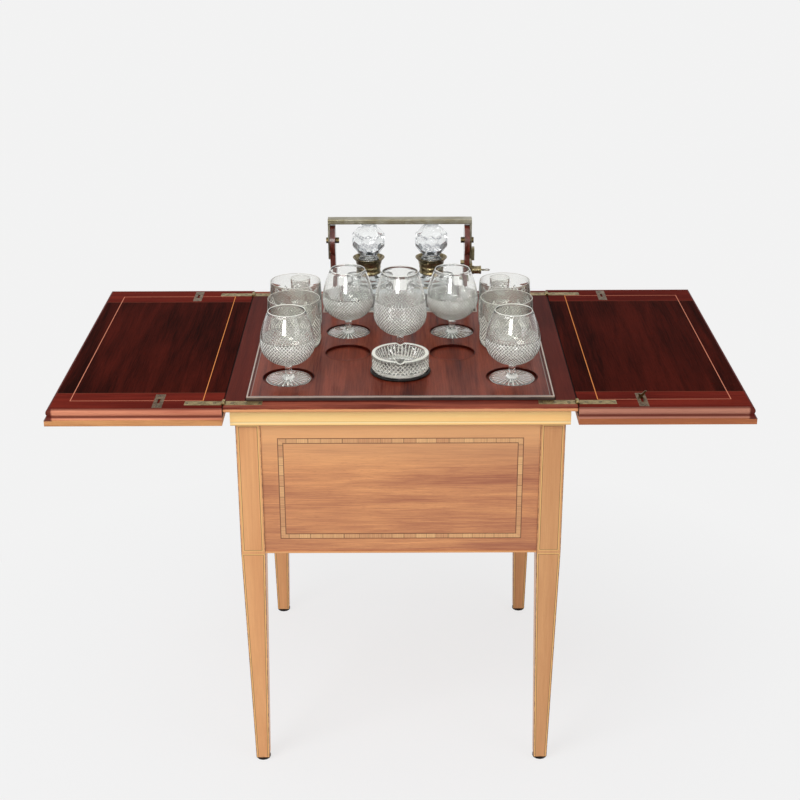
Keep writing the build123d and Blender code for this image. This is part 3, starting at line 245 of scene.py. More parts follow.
def make_wood_group():
    """Figure of polished wood whose grain runs along the vector's X."""
    group, given, result = new_group(
        "wood_figure", [("Vector", VECTOR), ("Light", COLOUR), ("Dark", COLOUR), ("Contrast", VALUE),
                        ("Pores", VALUE)],
        [("Color", COLOUR), ("Height", VALUE)])
    where = given["Vector"]
    streaks = noise(group, stretched(group, where, (2.4, 34.0, 34.0)), 1.0, 6.0, 0.6, 0.8)
    cloud = noise(group, stretched(group, where, (3.0, 8.0, 8.0)), 1.0, 2.0, 0.5, 0.4)
    fibres = noise(group, stretched(group, where, (16.0, 520.0, 520.0)), 1.0, 3.0, 0.65)
    pores = noise(group, stretched(group, where, (90.0, 1500.0, 1500.0)), 1.0, 1.0, 0.5)
    pores = calc(group, "MULTIPLY", fit_range(group, pores, 0.58, 0.70), given["Pores"])
    share = calc(group, "MULTIPLY_ADD", calc(group, "SUBTRACT", streaks, 0.5), 1.7, 0.0)
    share = calc(group, "MULTIPLY_ADD", calc(group, "SUBTRACT", cloud, 0.5), 1.1, share)
    share = calc(group, "MULTIPLY_ADD", calc(group, "SUBTRACT", fibres, 0.5), 0.9, share)
    share = calc(group, "MULTIPLY_ADD", share, given["Contrast"], 0.5)
    figure = blend_colour(group, fit_range(group, share, 0.0, 1.0), given["Dark"], given["Light"])
    darker = blend_colour(group, calc(group, "MULTIPLY", pores, 0.45), figure, given["Dark"])
    group.links.new(darker, result["Color"])
    height = calc(group, "MULTIPLY_ADD", pores, -0.8, fibres)
    group.links.new(height, result["Height"])


def make_rectangle_group():
    """How far inside a rectangle a point lies, and its place along the nearest side."""
    group, given, result = new_group(
        "inside_rectangle", [("U", VALUE), ("V", VALUE), ("Half U", VALUE), ("Half V", VALUE)],
        [("Depth", VALUE), ("Along", VALUE)])
    depth_u = calc(group, "SUBTRACT", given["Half U"], calc(group, "ABSOLUTE", given["U"]))
    depth_v = calc(group, "SUBTRACT", given["Half V"], calc(group, "ABSOLUTE", given["V"]))
    nearer_u = calc(group, "LESS_THAN", depth_u, depth_v)
    step = calc(group, "SUBTRACT", given["V"], given["U"])
    group.links.new(calc(group, "MINIMUM", depth_u, depth_v), result["Depth"])
    group.links.new(calc(group, "MULTIPLY_ADD", nearer_u, step, given["U"]), result["Along"])


def make_line_group():
    """Mask of a thin line at a given depth, with softened sides."""
    group, given, result = new_group(
        "inlaid_line", [("Depth", VALUE), ("Place", VALUE), ("Width", VALUE)], [("Mask", VALUE)])
    away = calc(group, "ABSOLUTE", calc(group, "SUBTRACT", given["Depth"], given["Place"]))
    half = calc(group, "MULTIPLY", given["Width"], 0.5)
    soft = calc(group, "MULTIPLY", given["Width"], 0.18)
    near, far = calc(group, "SUBTRACT", half, soft), calc(group, "ADD", half, soft)
    group.links.new(fit_range(group, away, near, far, 1.0, 0.0), result["Mask"])


def make_band_group():
    """Crossbanded border between two dark lines, laid over a wood."""
    group, given, result = new_group(
        "crossbanding", [("Wood", COLOUR), ("Depth", VALUE), ("Along", VALUE), ("Width", VALUE),
                         ("Light", COLOUR), ("Dark", COLOUR), ("Line", COLOUR)],
        [("Color", COLOUR)])
    along = given["Along"]
    spread = put(group, "CombineXYZ", {"X": along}).outputs[0]
    shifted = calc(group, "MULTIPLY_ADD", noise(group, spread, 24.0, 1.0), 0.030, along)
    block = calc(group, "DIVIDE", shifted, 0.019)
    shade = put(group, "TexWhiteNoise", {"W": calc(group, "FLOOR", block)}, noise_dimensions="1D").outputs[0]
    fine = noise(group, spread, 420.0, 3.0, 0.75)
    share = calc(group, "MULTIPLY_ADD", calc(group, "SUBTRACT", fine, 0.5), 1.7,
                 calc(group, "MULTIPLY_ADD", shade, 0.42, 0.36))
    band = blend_colour(group, fit_range(group, share, 0.1, 0.9), given["Dark"], given["Light"])
    joint = calc(group, "LESS_THAN", calc(group, "FRACT", block), 0.05)
    band = blend_colour(group, calc(group, "MULTIPLY", joint, 0.5), band, given["Line"])
    inside = calc(group, "MULTIPLY", calc(group, "GREATER_THAN", given["Depth"], 0.0),
                  calc(group, "LESS_THAN", given["Depth"], given["Width"]))
    laid = blend_colour(group, inside, given["Wood"], band)
    for place in (0.0, given["Width"]):
        mask = use_group(group, "inlaid_line", {"Depth": given["Depth"], "Place": place, "Width": 1.3 * MM})
        laid = blend_colour(group, calc(group, "MULTIPLY", mask["Mask"], 0.9), laid, given["Line"])
    group.links.new(laid, result["Color"])


def make_metal_group():
    """Old metal: patches of tarnish, fine scratches and pits."""
    group, given, result = new_group(
        "old_metal", [("Vector", VECTOR), ("Clean", COLOUR), ("Tarnish", COLOUR), ("Amount", VALUE),
                      ("Size", VALUE)],
        [("Color", COLOUR), ("Roughness", VALUE), ("Height", VALUE)])
    patches = noise(group, given["Vector"], calc(group, "DIVIDE", 1.0, given["Size"]), 5.0, 0.62, 0.3)
    specks = noise(group, given["Vector"], 1600.0, 2.0, 0.6)
    level = calc(group, "SUBTRACT", 1.0, given["Amount"])
    share = calc(group, "MULTIPLY_ADD", calc(group, "SUBTRACT", specks, 0.5), 0.35, patches)
    share = fit_range(group, calc(group, "SUBTRACT", share, level), -0.14, 0.16)
    group.links.new(blend_colour(group, share, given["Clean"], given["Tarnish"]), result["Color"])
    group.links.new(fit_range(group, share, 0.0, 1.0, 0.22, 0.52), result["Roughness"])
    group.links.new(calc(group, "MULTIPLY_ADD", share, 0.5, specks), result["Height"])


def make_dirt_group():
    """Dark worn line along an edge, broken up by small chips."""
    group, given, result = new_group(
        "edge_wear", [("Wood", COLOUR), ("Vector", VECTOR), ("Edge", VALUE), ("Width", VALUE), ("Dirt", COLOUR)],
        [("Color", COLOUR)])
    ragged = noise(group, given["Vector"], 90.0, 4.0, 0.7)
    reach = calc(group, "MULTIPLY", given["Width"], fit_range(group, ragged, 0.35, 0.7, 0.35, 2.4))
    mask = fit_range(group, calc(group, "DIVIDE", given["Edge"], reach), 0.55, 1.15, 0.8, 0.0)
    group.links.new(blend_colour(group, mask, given["Wood"], given["Dirt"]), result["Color"])


# ---------------------------------------------------------------- materials

def start_material(name):
    """New material with its object coordinates, Principled shader and tree."""
    material = bpy.data.materials.new(name)
    material.use_nodes = True
    tree = material.node_tree
    shader = tree.nodes["Principled BSDF"]
    where = put(tree, "TexCoord").outputs["Object"]
    return material, tree, shader, where


def parts_of(tree, vector):
    """X, Y and Z of a vector."""
    return put(tree, "SeparateXYZ", {0: vector}).outputs


def grain_along(tree, where, axis):
    """Vector turned so that its X runs along the named axis, for the wood group."""
    x, y, z = parts_of(tree, where)
    order = {"X": (x, y, z), "Y": (y, x, z), "Z": (z, x, y)}[axis]
    return put(tree, "CombineXYZ", dict(enumerate(order))).outputs[0]


def polish(tree, shader, colour, height, roughness=0.36, coat=0.2, bump=0.06 * MM, gloss=0.3):
    """Sets a wood's colour, grain bump and french polish."""
    tree.links.new(colour, shader.inputs["Base Color"])
    raised = put(tree, "Bump", {"Strength": 0.55, "Distance": bump, "Height": height})
    tree.links.new(raised.outputs[0], shader.inputs["Normal"])
    shader.inputs["Roughness"].default_value = roughness
    shader.inputs["Specular IOR Level"].default_value = gloss
    shader.inputs["Coat Weight"].default_value = coat
    shader.inputs["Coat Roughness"].default_value = 0.2


def wood(tree, where, axis, light, dark, contrast=1.0, pores=1.0):
    """Outputs of the wood group for a grain direction and two colours."""
    inputs = {"Vector": grain_along(tree, where, axis), "Light": light, "Dark": dark,
              "Contrast": contrast, "Pores": pores}
    return use_group(tree, "wood_figure", inputs)


def plain_wood(name, axis, light, dark, contrast=1.0, pores=1.0, **finish):
    """Polished wood without inlay."""
    material, tree, shader, where = start_material(name)
    figure = wood(tree, where, axis, light, dark, contrast, pores)
    polish(tree, shader, figure["Color"], figure["Height"], **finish)
    return material


def leg_wood(name, node):
    """Satinwood of one leg, with its inlaid lines and worn edges."""
    colours, sizes = bpy.context.scene.table_colours, bpy.context.scene.table_sizes
    material, tree, shader, where = start_material(name)
    low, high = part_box(node)
    panel_low, panel_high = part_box("front_panel")
    knee, half = panel_low[2], (high[0] - low[0]) / 2
    foot = FOOT_HALF
    # The right legs take a darker copy of the satinwood, painted shade for the side away from the key lamp.
    shade = LEG_SHADE["right" if low[0] > 0 else "left"]
    light, dark = ([part * shade for part in colour[:3]] + [1.0] for colour in (colours.satin_light, colours.satin_dark))
    figure = wood(tree, where, "Z", light, dark, 0.8, 0.5)
    x, y, z = parts_of(tree, where)
    across = [calc(tree, "ABSOLUTE", calc(tree, "SUBTRACT", value, (low[k] + high[k]) / 2))
              for k, value in enumerate((x, y))]
    width = fit_range(tree, z, low[2], knee, foot, half)
    edge = calc(tree, "SUBTRACT", width, calc(tree, "MINIMUM", *across))
    from_knee = calc(tree, "ABSOLUTE", calc(tree, "SUBTRACT", z, knee))
    from_top = calc(tree, "SUBTRACT", high[2], z)
    depth = calc(tree, "MINIMUM", edge, calc(tree, "MINIMUM", from_knee, from_top))
    above = calc(tree, "GREATER_THAN", z, knee)
    place = calc(tree, "MULTIPLY_ADD", above, sizes.leg_inset - 2.4 * MM, 2.4 * MM)
    colour = figure["Color"]
    for extra, width_mm, shade, strength in ((1.0, 1.0, colours.line_dark, 0.75),
                                             (0.0, 1.1, colours.string_light, 0.95)):
        shifted = calc(tree, "ADD", place, extra * MM)
        line = use_group(tree, "inlaid_line", {"Depth": depth, "Place": shifted, "Width": width_mm * MM})
        colour = blend_colour(tree, calc(tree, "MULTIPLY", line["Mask"], strength), colour, shade)
    worn = use_group(tree, "edge_wear", {"Wood": colour, "Vector": where, "Edge": edge, "Width": 0.8 * MM,
                                         "Dirt": colours.line_dark})
    polish(tree, shader, worn["Color"], figure["Height"], roughness=0.38)
    return material


def cornice_wood(name):
    """Bright satinwood of the cornice, with a light line near its lower edge and painted shade along its top and bottom
    edges.
    """
    colours = bpy.context.scene.table_colours
    material, tree, shader, where = start_material(name)
    low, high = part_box("cornice_strips")
    x, y, z = parts_of(tree, where)
    long_x = wood(tree, where, "X", colours.cornice_light, colours.cornice_dark, 0.9, 0.4)
    long_y = wood(tree, where, "Y", colours.cornice_light, colours.cornice_dark, 0.9, 0.4)
    reach_x = calc(tree, "SUBTRACT", high.x, calc(tree, "ABSOLUTE", x))
    reach_y = calc(tree, "SUBTRACT", high.y, calc(tree, "ABSOLUTE", y))
    on_side = calc(tree, "LESS_THAN", reach_x, reach_y)
    colour = blend_colour(tree, on_side, long_x["Color"], long_y["Color"])
    up = calc(tree, "SUBTRACT", z, low.z)
    # The light line at 4.6 mm is a string with a faint dark line above it; the dark lines at 25.6 mm and 0.2 mm are
    # painted shade under the rail and along the lower edge.
    for place, width, shade, strength in ((6.0, 1.2, colours.line_dark, 0.30), (4.6, 1.8, tint(255, 232, 176), 0.8),
                                          (25.6, 1.4, colours.line_dark, 0.75), (0.2, 1.2, colours.line_dark, 0.6)):
        line = use_group(tree, "inlaid_line", {"Depth": up, "Place": place * MM, "Width": width * MM})
        colour = blend_colour(tree, calc(tree, "MULTIPLY", line["Mask"], strength), colour, shade)
    polish(tree, shader, colour, long_x["Height"], roughness=0.34)
    return material


def moulding_wood(name, shade):
    """Leaf moulding: a light swell, partly worn and partly a painted highlight, over a cove darkened by painted shade,
    dark again on the leaf's outer side.
    """
    colours = bpy.context.scene.table_colours
    light, dark = (blend_tints(worn, colours.moulding_grey, shade) for worn in (colours.moulding_light, colours.moulding_dark))
    material, tree, shader, where = start_material(name)
    figure = wood(tree, where, "X", light, dark, 1.1, 0.5)
    low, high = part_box("left_leaf_moulding")
    x, y, z = parts_of(tree, where)
    up = calc(tree, "DIVIDE", calc(tree, "SUBTRACT", z, low.z), high.z - low.z)
    # Painted shade in the cove.
    cove = calc(tree, "MULTIPLY", fit_range(tree, up, 0.10, 0.20), fit_range(tree, up, 0.34, 0.46, 1.0, 0.0))
    colour = blend_colour(tree, calc(tree, "MULTIPLY", cove, 0.85), figure["Color"], colours.clamp_dark)
    colour = blend_colour(tree, fit_range(tree, up, 0.86, 0.97, 0.0, 0.7), colour, colours.clamp_dark)
    edge = -low.x - 9.0 * MM
    outer = fit_range(tree, calc(tree, "ABSOLUTE", x), edge - 3.0 * MM, edge, 0.0, 0.92)
    colour = blend_colour(tree, outer, colour, colours.clamp_dark)
    polish(tree, shader, colour, figure["Height"], roughness=0.36, coat=0.0, gloss=0.03)
    return material


def rail_wood(name):
    """Mahogany of the top rails, whose outer edge is light wood under a dark arris, partly worn and partly a painted
    highlight; painted shade darkens its lower edge and the wood beside the hinge gap.
    """
    colours = bpy.context.scene.table_colours
    material, tree, shader, where = start_material(name)
    ends = wood(tree, where, "X", colours.rail_light, colours.rail_dark, 2.4, 0.8)
    sides = wood(tree, where, "Y", colours.side_rail_light, colours.side_rail_dark, 1.0, 0.6)
    edge = wood(tree, where, "X", colours.rail_edge, colours.panel_light, 0.8, 0.4)
    low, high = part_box("top_rails")
    x, y, z = parts_of(tree, where)
    # Light outer edge: partly worn wood, partly a painted highlight.
    outside = calc(tree, "MAXIMUM", calc(tree, "GREATER_THAN", calc(tree, "ABSOLUTE", y), high.y - 3.0 * MM),
                   calc(tree, "GREATER_THAN", calc(tree, "ABSOLUTE", x), high.x - 3.0 * MM))
    drop = calc(tree, "SUBTRACT", high.z, z)
    ragged = calc(tree, "MULTIPLY_ADD", noise(tree, where, 60.0, 3.0), 1.2 * MM, drop)
    lower = calc(tree, "MULTIPLY", fit_range(tree, ragged, 2.6 * MM, 3.4 * MM), outside)
    at_end = calc(tree, "GREATER_THAN", calc(tree, "ABSOLUTE", y), high.y - END_RAIL)
    top = blend_colour(tree, at_end, sides["Color"], ends["Color"])
    colour = blend_colour(tree, lower, top, edge["Color"])
    # Painted shade on the rail beside the hinge gap.
    joint = fit_range(tree, calc(tree, "ABSOLUTE", x), HINGE_X - 1.6 * MM, HINGE_X - 0.8 * MM, 0.0, 0.9)
    colour = blend_colour(tree, joint, colour, tint(24, 10, 8))
    # Painted shade along the rail's lower edge, over the cornice.
    under = fit_range(tree, drop, 7.0 * MM, 7.5 * MM, 0.0, 0.8)
    colour = blend_colour(tree, under, colour, colours.line_dark)
    polish(tree, shader, colour, ends["Height"], roughness=0.4, coat=0.0, gloss=0.015)
    return material


def recess_wood(name):
    """Tray wood under the recesses, with painted shade where it meets their walls."""
    colours = bpy.context.scene.table_colours
    material, tree, shader, where = start_material(name)
    figure = wood(tree, where, "Y", colours.tray_light, colours.tray_dark, 1.5, 0.8)
    flat = stretched(tree, where, (1.0, 1.0, 0.0))
    nearest = 1.0
    for x, y, radius in recess_places():
        away = put(tree, "VectorMath", {0: flat, 1: (x, y, 0.0)}, operation="DISTANCE").outputs["Value"]
        nearest = calc(tree, "MINIMUM", nearest, calc(tree, "ABSOLUTE", calc(tree, "SUBTRACT", away, radius)))
    # Painted shade on the recess floor, darkest at the foot of each wall.
    corner = fit_range(tree, nearest, 1.0 * MM, 8.0 * MM, 0.9, 0.0)
    colour = blend_colour(tree, corner, figure["Color"], tint(48, 12, 10))
    polish(tree, shader, colour, figure["Height"], roughness=0.3, coat=0.0, gloss=0.05)
    return material


def tray_wood(name):
    """Tray board with two thin light lines inside its rim."""
    colours = bpy.context.scene.table_colours
    material, tree, shader, where = start_material(name)
    figure = wood(tree, where, "Y", colours.tray_light, colours.tray_dark, 1.5, 0.8)
    low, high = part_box("tray_board")
    x, y, z = parts_of(tree, where)
    inside = use_group(tree, "inside_rectangle", {
        "U": x, "V": calc(tree, "SUBTRACT", y, (low.y + high.y) / 2), "Half U": high.x, "Half V": (high.y - low.y) / 2})
    colour = figure["Color"]
    for place, width, shade, strength in ((2.0, 3.0, colours.tray_dark, 0.9), (4.6, 1.0, colours.edging, 0.6)):
        line = use_group(tree, "inlaid_line", {"Depth": inside["Depth"], "Place": place * MM, "Width": width * MM})
        colour = blend_colour(tree, calc(tree, "MULTIPLY", line["Mask"], strength), colour, shade)
    polish(tree, shader, colour, figure["Height"], roughness=0.26, coat=0.0, gloss=0.06)
    return material


def rim_metal(name):
    """Tray rim: a painted highlight on its top over painted shade on its side."""
    colours = bpy.context.scene.table_colours
    material, tree, shader, where = start_material(name)
    low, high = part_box("tray_rim")
    z = parts_of(tree, where)[2]
    # Noise that makes the border between the painted highlight and the painted shade ragged, and gives the bump.
    worn = noise(tree, where, 55.0, 4.0, 0.6)
    drop = calc(tree, "MULTIPLY_ADD", worn, 1.6 * MM, calc(tree, "SUBTRACT", high.z, z))
    side = blend_colour(tree, worn, colours.edging_tarnish, tint(58, 36, 34))
    colour = blend_colour(tree, fit_range(tree, drop, 2.2 * MM, 3.2 * MM), colours.rim_light, side)
    polish(tree, shader, colour, worn, roughness=0.4, coat=0.0, gloss=0.5)
    return material


def banded_wood(name, flat, centre, half, grain, light, dark, hidden_side=None):
    """Wood with a crossbanded border; flat gives the two axes of its face, hidden_side its box if its upper edge is dark."""
    colours, sizes = bpy.context.scene.table_colours, bpy.context.scene.table_sizes
    material, tree, shader, where = start_material(name)
    figure = wood(tree, where, grain, light, dark, 2.4 if hidden_side else 1.2, 0.7)
    x, y, z = parts_of(tree, where)
    axes = {"X": x, "Y": y, "Z": z}
    place = [calc(tree, "SUBTRACT", axes[axis], centre[k]) for k, axis in enumerate(flat)]
    inside = use_group(tree, "inside_rectangle", {"U": place[0], "V": place[1],
                                                  "Half U": half[0], "Half V": half[1]})
    # Lighter towards the top, by the share given for the face's upward axis.
    lighter_upward = fit_range(tree, z, centre[1] + 0.3 * half[1], centre[1] + 1.4 * half[1], 0.0, UPWARD_LIGHTENING[flat[1]])
    surface = blend_colour(tree, lighter_upward, figure["Color"], colours.satin_light)
    banded = use_group(tree, "crossbanding", {
        "Wood": surface, "Depth": inside["Depth"], "Along": inside["Along"],
        "Width": sizes.band_width, "Light": colours.band_light, "Dark": colours.band_dark,
        "Line": colours.line_dark})
    colour = banded["Color"]
    if hidden_side:
        low, high = hidden_side
        edge = fit_range(tree, calc(tree, "ABSOLUTE", x), max(high.x, -low.x) - 14.0 * MM, max(high.x, -low.x) - 12.0 * MM)
        upper = fit_range(tree, z, high.z - 1.6 * MM, high.z - 1.0 * MM, 0.0, 0.9)
        colour = blend_colour(tree, calc(tree, "MULTIPLY", edge, upper), colour, colours.clamp_dark)
    polish(tree, shader, colour, figure["Height"], roughness=0.36)
    return material


def leaf_wood(name, side):
    """Inner face of a leaf: a board between two cross-grained ends, with an inlaid line and painted shade beside the
    hinge gap.
    """
    colours, sizes = bpy.context.scene.table_colours, bpy.context.scene.table_sizes
    material, tree, shader, where = start_material(name)
    low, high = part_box("right_leaf_boards")
    board = wood(tree, where, "Y", colours.mahogany_light, colours.mahogany_dark, 1.4)
    clamp = wood(tree, where, "X", colours.clamp_light, colours.clamp_dark, 1.5)
    x, y, z = parts_of(tree, where)
    from_end = calc(tree, "SUBTRACT", high[1], calc(tree, "ABSOLUTE", y))
    at_end = calc(tree, "LESS_THAN", from_end, CLAMP_WIDTH)
    colour = blend_colour(tree, at_end, board["Color"], clamp["Color"])
    height = calc(tree, "MAXIMUM", board["Height"], clamp["Height"])
    seam = use_group(tree, "inlaid_line", {"Depth": from_end, "Place": CLAMP_WIDTH, "Width": 0.9 * MM})
    colour = blend_colour(tree, calc(tree, "MULTIPLY", seam["Mask"], 0.16), colour, colours.moulding_light)
    out = calc(tree, "MULTIPLY", x, float(side))
    centre_x, half_x = (STRING_X[0] + STRING_X[1]) / 2, (STRING_X[1] - STRING_X[0]) / 2
    inside = use_group(tree, "inside_rectangle", {
        "U": calc(tree, "SUBTRACT", out, centre_x), "V": y, "Half U": half_x, "Half V": STRING_Y})
    # Painted shade on the leaf beside the hinge gap.
    joint = fit_range(tree, out, HINGE_X + 0.8 * MM, HINGE_X + 1.8 * MM, 0.9, 0.0)
    colour = blend_colour(tree, joint, colour, tint(24, 10, 8))
    string = use_group(tree, "inlaid_line", {"Depth": inside["Depth"], "Place": 0.0, "Width": sizes.string_width})
    on_top = calc(tree, "GREATER_THAN", z, high[2] - 0.2 * MM)
    mask = calc(tree, "MULTIPLY", string["Mask"], on_top)
    beside_hinge = fit_range(tree, out, STRING_X[0] + 3.0 * MM, STRING_X[0] + 6.0 * MM, 1.0, 0.0)
    line = blend_colour(tree, beside_hinge, colours.string_pink, colours.string_orange)
    colour = blend_colour(tree, mask, colour, line)
    polish(tree, shader, colour, height, roughness=0.38, coat=0.0, gloss=0.002)
    return material


def metal(name, clean, tarnish, amount=0.5, size=12.0 * MM, roughness=None, bump=0.05 * MM):
    """Old metal with tarnish and scratches."""
    material, tree, shader, where = start_material(name)
    aged = use_group(tree, "old_metal", {"Vector": where, "Clean": clean, "Tarnish": tarnish,
                                         "Amount": amount, "Size": size})
    tree.links.new(aged["Color"], shader.inputs["Base Color"])
    if roughness is None:
        tree.links.new(aged["Roughness"], shader.inputs["Roughness"])
    else:
        shader.inputs["Roughness"].default_value = roughness
    shader.inputs["Metallic"].default_value = 1.0
    raised = put(tree, "Bump", {"Strength": 0.5, "Distance": bump, "Height": aged["Height"]})
    tree.links.new(raised.outputs[0], shader.inputs["Normal"])
    return material


def clear_glass(name, colour, face, line, sparkle=0.8, haze=0.02):
    """Lead glass with painted shade between its cut grooves and painted highlights along them, on its rims and round
    its outline.
    """
    material, tree, shader, where = start_material(name)
    groove, peak, rim, ray = (put(tree, "Attribute", attribute_name=mask).outputs["Fac"]
                              for mask in ("groove", "peak", "rim", "ray"))
    # Noise that varies the painted shade and painted glints from facet to facet.
    glint = noise(tree, where, 260.0, 1.0)
    outside = calc(tree, "SUBTRACT", 1.0, put(tree, "NewGeometry").outputs["Backfacing"])
    # Painted shade: faces between the grooves lean towards the face colour, less so on the inner side.
    shade = calc(tree, "MULTIPLY", fit_range(tree, peak, 0.15, 0.6), fit_range(tree, glint, 0.35, 0.62, 0.3, 1.0))
    shade = calc(tree, "MULTIPLY", shade, calc(tree, "MULTIPLY_ADD", outside, 0.1, 0.9))
    body = blend_colour(tree, shade, colour, face)
    tree.links.new(body, shader.inputs["Base Color"])
    shader.inputs["Roughness"].default_value = 0.0
    shader.inputs["IOR"].default_value = 1.52
    shader.inputs["Transmission Weight"].default_value = 1.0
    ripple = put(tree, "Bump", {"Strength": 0.03, "Distance": 0.2 * MM, "Height": noise(tree, where, 60.0, 2.0)})
    tree.links.new(ripple.outputs[0], shader.inputs["Normal"])
    # Painted highlight: a share of white diffuse along the grooves, the foot's rays, the rims and the outline, with a
    # little haze everywhere.
    painted_highlight = calc(tree, "MULTIPLY", fit_range(tree, groove, 0.62, 0.92), sparkle)
    painted_highlight = calc(tree, "MULTIPLY", painted_highlight, fit_range(tree, glint, 0.36, 0.60, 0.45, 1.0))
    painted_highlight = calc(tree, "MULTIPLY", painted_highlight, calc(tree, "MULTIPLY_ADD", outside, 0.5, 0.5))
    # Painted highlight round the outline, where the surface turns from the view.
    turned = put(tree, "LayerWeight", {"Blend": 0.5}).outputs["Facing"]
    edge = calc(tree, "MULTIPLY", fit_range(tree, turned, 0.80, 0.95, 0.0, 0.55), outside)
    painted_highlight = calc(tree, "MAXIMUM", painted_highlight, fit_range(tree, ray, 0.45, 0.9, 0.0, 0.75))
    painted_highlight = calc(tree, "MAXIMUM", calc(tree, "MAXIMUM", painted_highlight, edge), calc(tree, "MULTIPLY_ADD", rim, 0.8, haze))
    # The white diffuse that shows the painted highlights.
    scatter = put(tree, "BsdfDiffuse", {"Color": line})
    glass_with_glints = put(tree, "MixShader", {0: painted_highlight, 1: shader.outputs[0], 2: scatter.outputs[0]})
    see_through = put(tree, "BsdfTransparent", {"Color": tint(232, 236, 234)})
    is_shadow = put(tree, "LightPath").outputs["Is Shadow Ray"]
    mixed = put(tree, "MixShader", {0: is_shadow, 1: glass_with_glints.outputs[0], 2: see_through.outputs[0]})
    tree.links.new(mixed.outputs[0], tree.nodes["Material Output"].inputs["Surface"])
    return material


def finish(node, material):
    """Gives a carried-over node its material in every slot."""
    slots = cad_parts[node].material_slots
    for slot in slots:
        slot.material = material


# ---------------------------------------------------------------- mesh helpers

def keep(bm, name, body, material, replaced=(), smooth=False):
    """Turns a bmesh into a piece at the origin that rides on a body."""
    mesh = bpy.data.meshes.new(name)
    bm.to_mesh(mesh)
    bm.free()
    mesh.materials.append(material)
    if smooth:
        mesh.shade_smooth()
    piece = bpy.data.objects.new(name, mesh)
    bpy.context.scene.collection.objects.link(piece)
    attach(piece, body)
    if replaced:
        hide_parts(*replaced)
    return piece


def add_box(bm, low, high, bevel=0.0, segments=2):
    """Adds a box between two corners, with softened edges."""
    size = [b - a for a, b in zip(low, high)]
    centre = [(a + b) / 2 for a, b in zip(low, high)]
    place = Matrix.Translation(centre) @ Matrix.Diagonal((*size, 1.0))
    made = bmesh.ops.create_cube(bm, size=1.0, matrix=place)
    if bevel:
        edges = list({edge for vert in made["verts"] for edge in vert.link_edges})
        bmesh.ops.bevel(bm, geom=edges, offset=bevel, offset_type="OFFSET", segments=segments,
                        profile=0.5, affect="EDGES", material=-1)


def add_rod(bm, start, end, radius, segments=24, bevel=0.0):
    """Adds a closed cylinder between two points, with softened rims."""
    start, end = Vector(start), Vector(end)
    turn = (end - start).to_track_quat("Z", "Y").to_matrix().to_4x4()
    place = Matrix.Translation((start + end) / 2) @ turn
    made = bmesh.ops.create_cone(bm, cap_ends=True, segments=segments, radius1=radius, radius2=radius,
                                 depth=(end - start).length, matrix=place)
    if bevel:
        rims = {edge for vert in made["verts"] for edge in vert.link_edges
                if any(len(face.verts) == segments for face in edge.link_faces)}
        bmesh.ops.bevel(bm, geom=list(rims), offset=bevel, offset_type="OFFSET", segments=2,
                        profile=0.5, affect="EDGES", material=-1)


def spin_profile(bm, points, columns, closed=False):
    """Spins points (radius, height) round Z; each vertex keeps the number of its point."""
    row = bm.verts.layers.int.get("row") or bm.verts.layers.int.new("row")
    verts = []
    for place, (radius, height) in enumerate(points):
        vert = bm.verts.new((radius, 0.0, height))
        vert[row] = place
        verts.append(vert)
    pairs = list(zip(verts, verts[1:])) + ([(verts[-1], verts[0])] if closed else [])
    edges = [bm.edges.new(pair) for pair in pairs]
    bmesh.ops.spin(bm, geom=verts + edges, cent=(0, 0, 0), axis=(0, 0, 1), angle=2 * math.pi,
                   steps=columns, use_merge=True)
    on_axis = [vert for vert in bm.verts if math.hypot(vert.co.x, vert.co.y) < 1e-7]
    bmesh.ops.remove_doubles(bm, verts=on_axis, dist=1e-6)
    bmesh.ops.recalc_face_normals(bm, faces=bm.faces)
    return row


def column_of(vert, columns):
    """Number of the column that a spun vertex stands in."""
    turn = math.atan2(vert.co.y, vert.co.x) % (2 * math.pi)
    return round(turn / (2 * math.pi) * columns) % columns


def mask_layer(bm, name):
    """Value of every vertex that the glass reads, 0 until it is set."""
    return bm.verts.layers.float.get(name) or bm.verts.layers.float.new(name)


def cut_diamonds(bm, row, rows, columns, depth, reach=None):
    """Cuts crossing grooves into the given rows: every other vertex goes in, the rest stand."""
    bm.normal_update()
    # Sunk vertices are marked for painted glints along the grooves, standing ones for painted shade on the faces
    # between.
    groove, peak = mask_layer(bm, "groove"), mask_layer(bm, "peak")
    moves, sunk = [], []
    for vert in bm.verts:
        if vert[row] in rows:
            column = column_of(vert, columns)
            strength = reach(vert, column) if reach else 1.0
            if (column + vert[row]) % 2 == 0:
                moves.append((vert, vert.normal * -depth * strength))
                vert[groove] = strength
                sunk.append(vert)
            else:
                vert[peak] = strength
    for vert, move in moves:
        vert.co += move
    bmesh.ops.connect_verts(bm, verts=sunk)
    wanted = set(rows)
    faces = [face for face in bm.faces if len(face.verts) == 4 and any(v[row] in wanted for v in face.verts)]
    bmesh.ops.triangulate(bm, faces=faces, quad_method="SHORT_EDGE")


def cut_flutes(bm, row, rows, columns, depth):
    """Cuts long V-shaped flutes down the given rows, one to every two columns."""
    bm.normal_update()
    # Ridges are marked for painted glints, valleys for painted shade.
    ridge_glint, valley_shade = mask_layer(bm, "groove"), mask_layer(bm, "peak")
    moves = []
    for vert in bm.verts:
        if vert[row] in rows:
            if column_of(vert, columns) % 2:
                vert[ridge_glint] = 1.0
            else:
                share = math.sin(math.pi * (vert[row] - rows[0] + 1) / (len(rows) + 1)) ** 0.5
                moves.append((vert, vert.normal * -depth * share))
                vert[valley_shade] = 1.0
    for vert, move in moves:
        vert.co += move


def brighten_rim(bm, row, rows, amount=1.0):
    """Marks rows for a painted highlight, as on a rim."""
    rim = mask_layer(bm, "rim")
    for vert in bm.verts:
        if vert[row] in rows:
            vert[rim] = amount


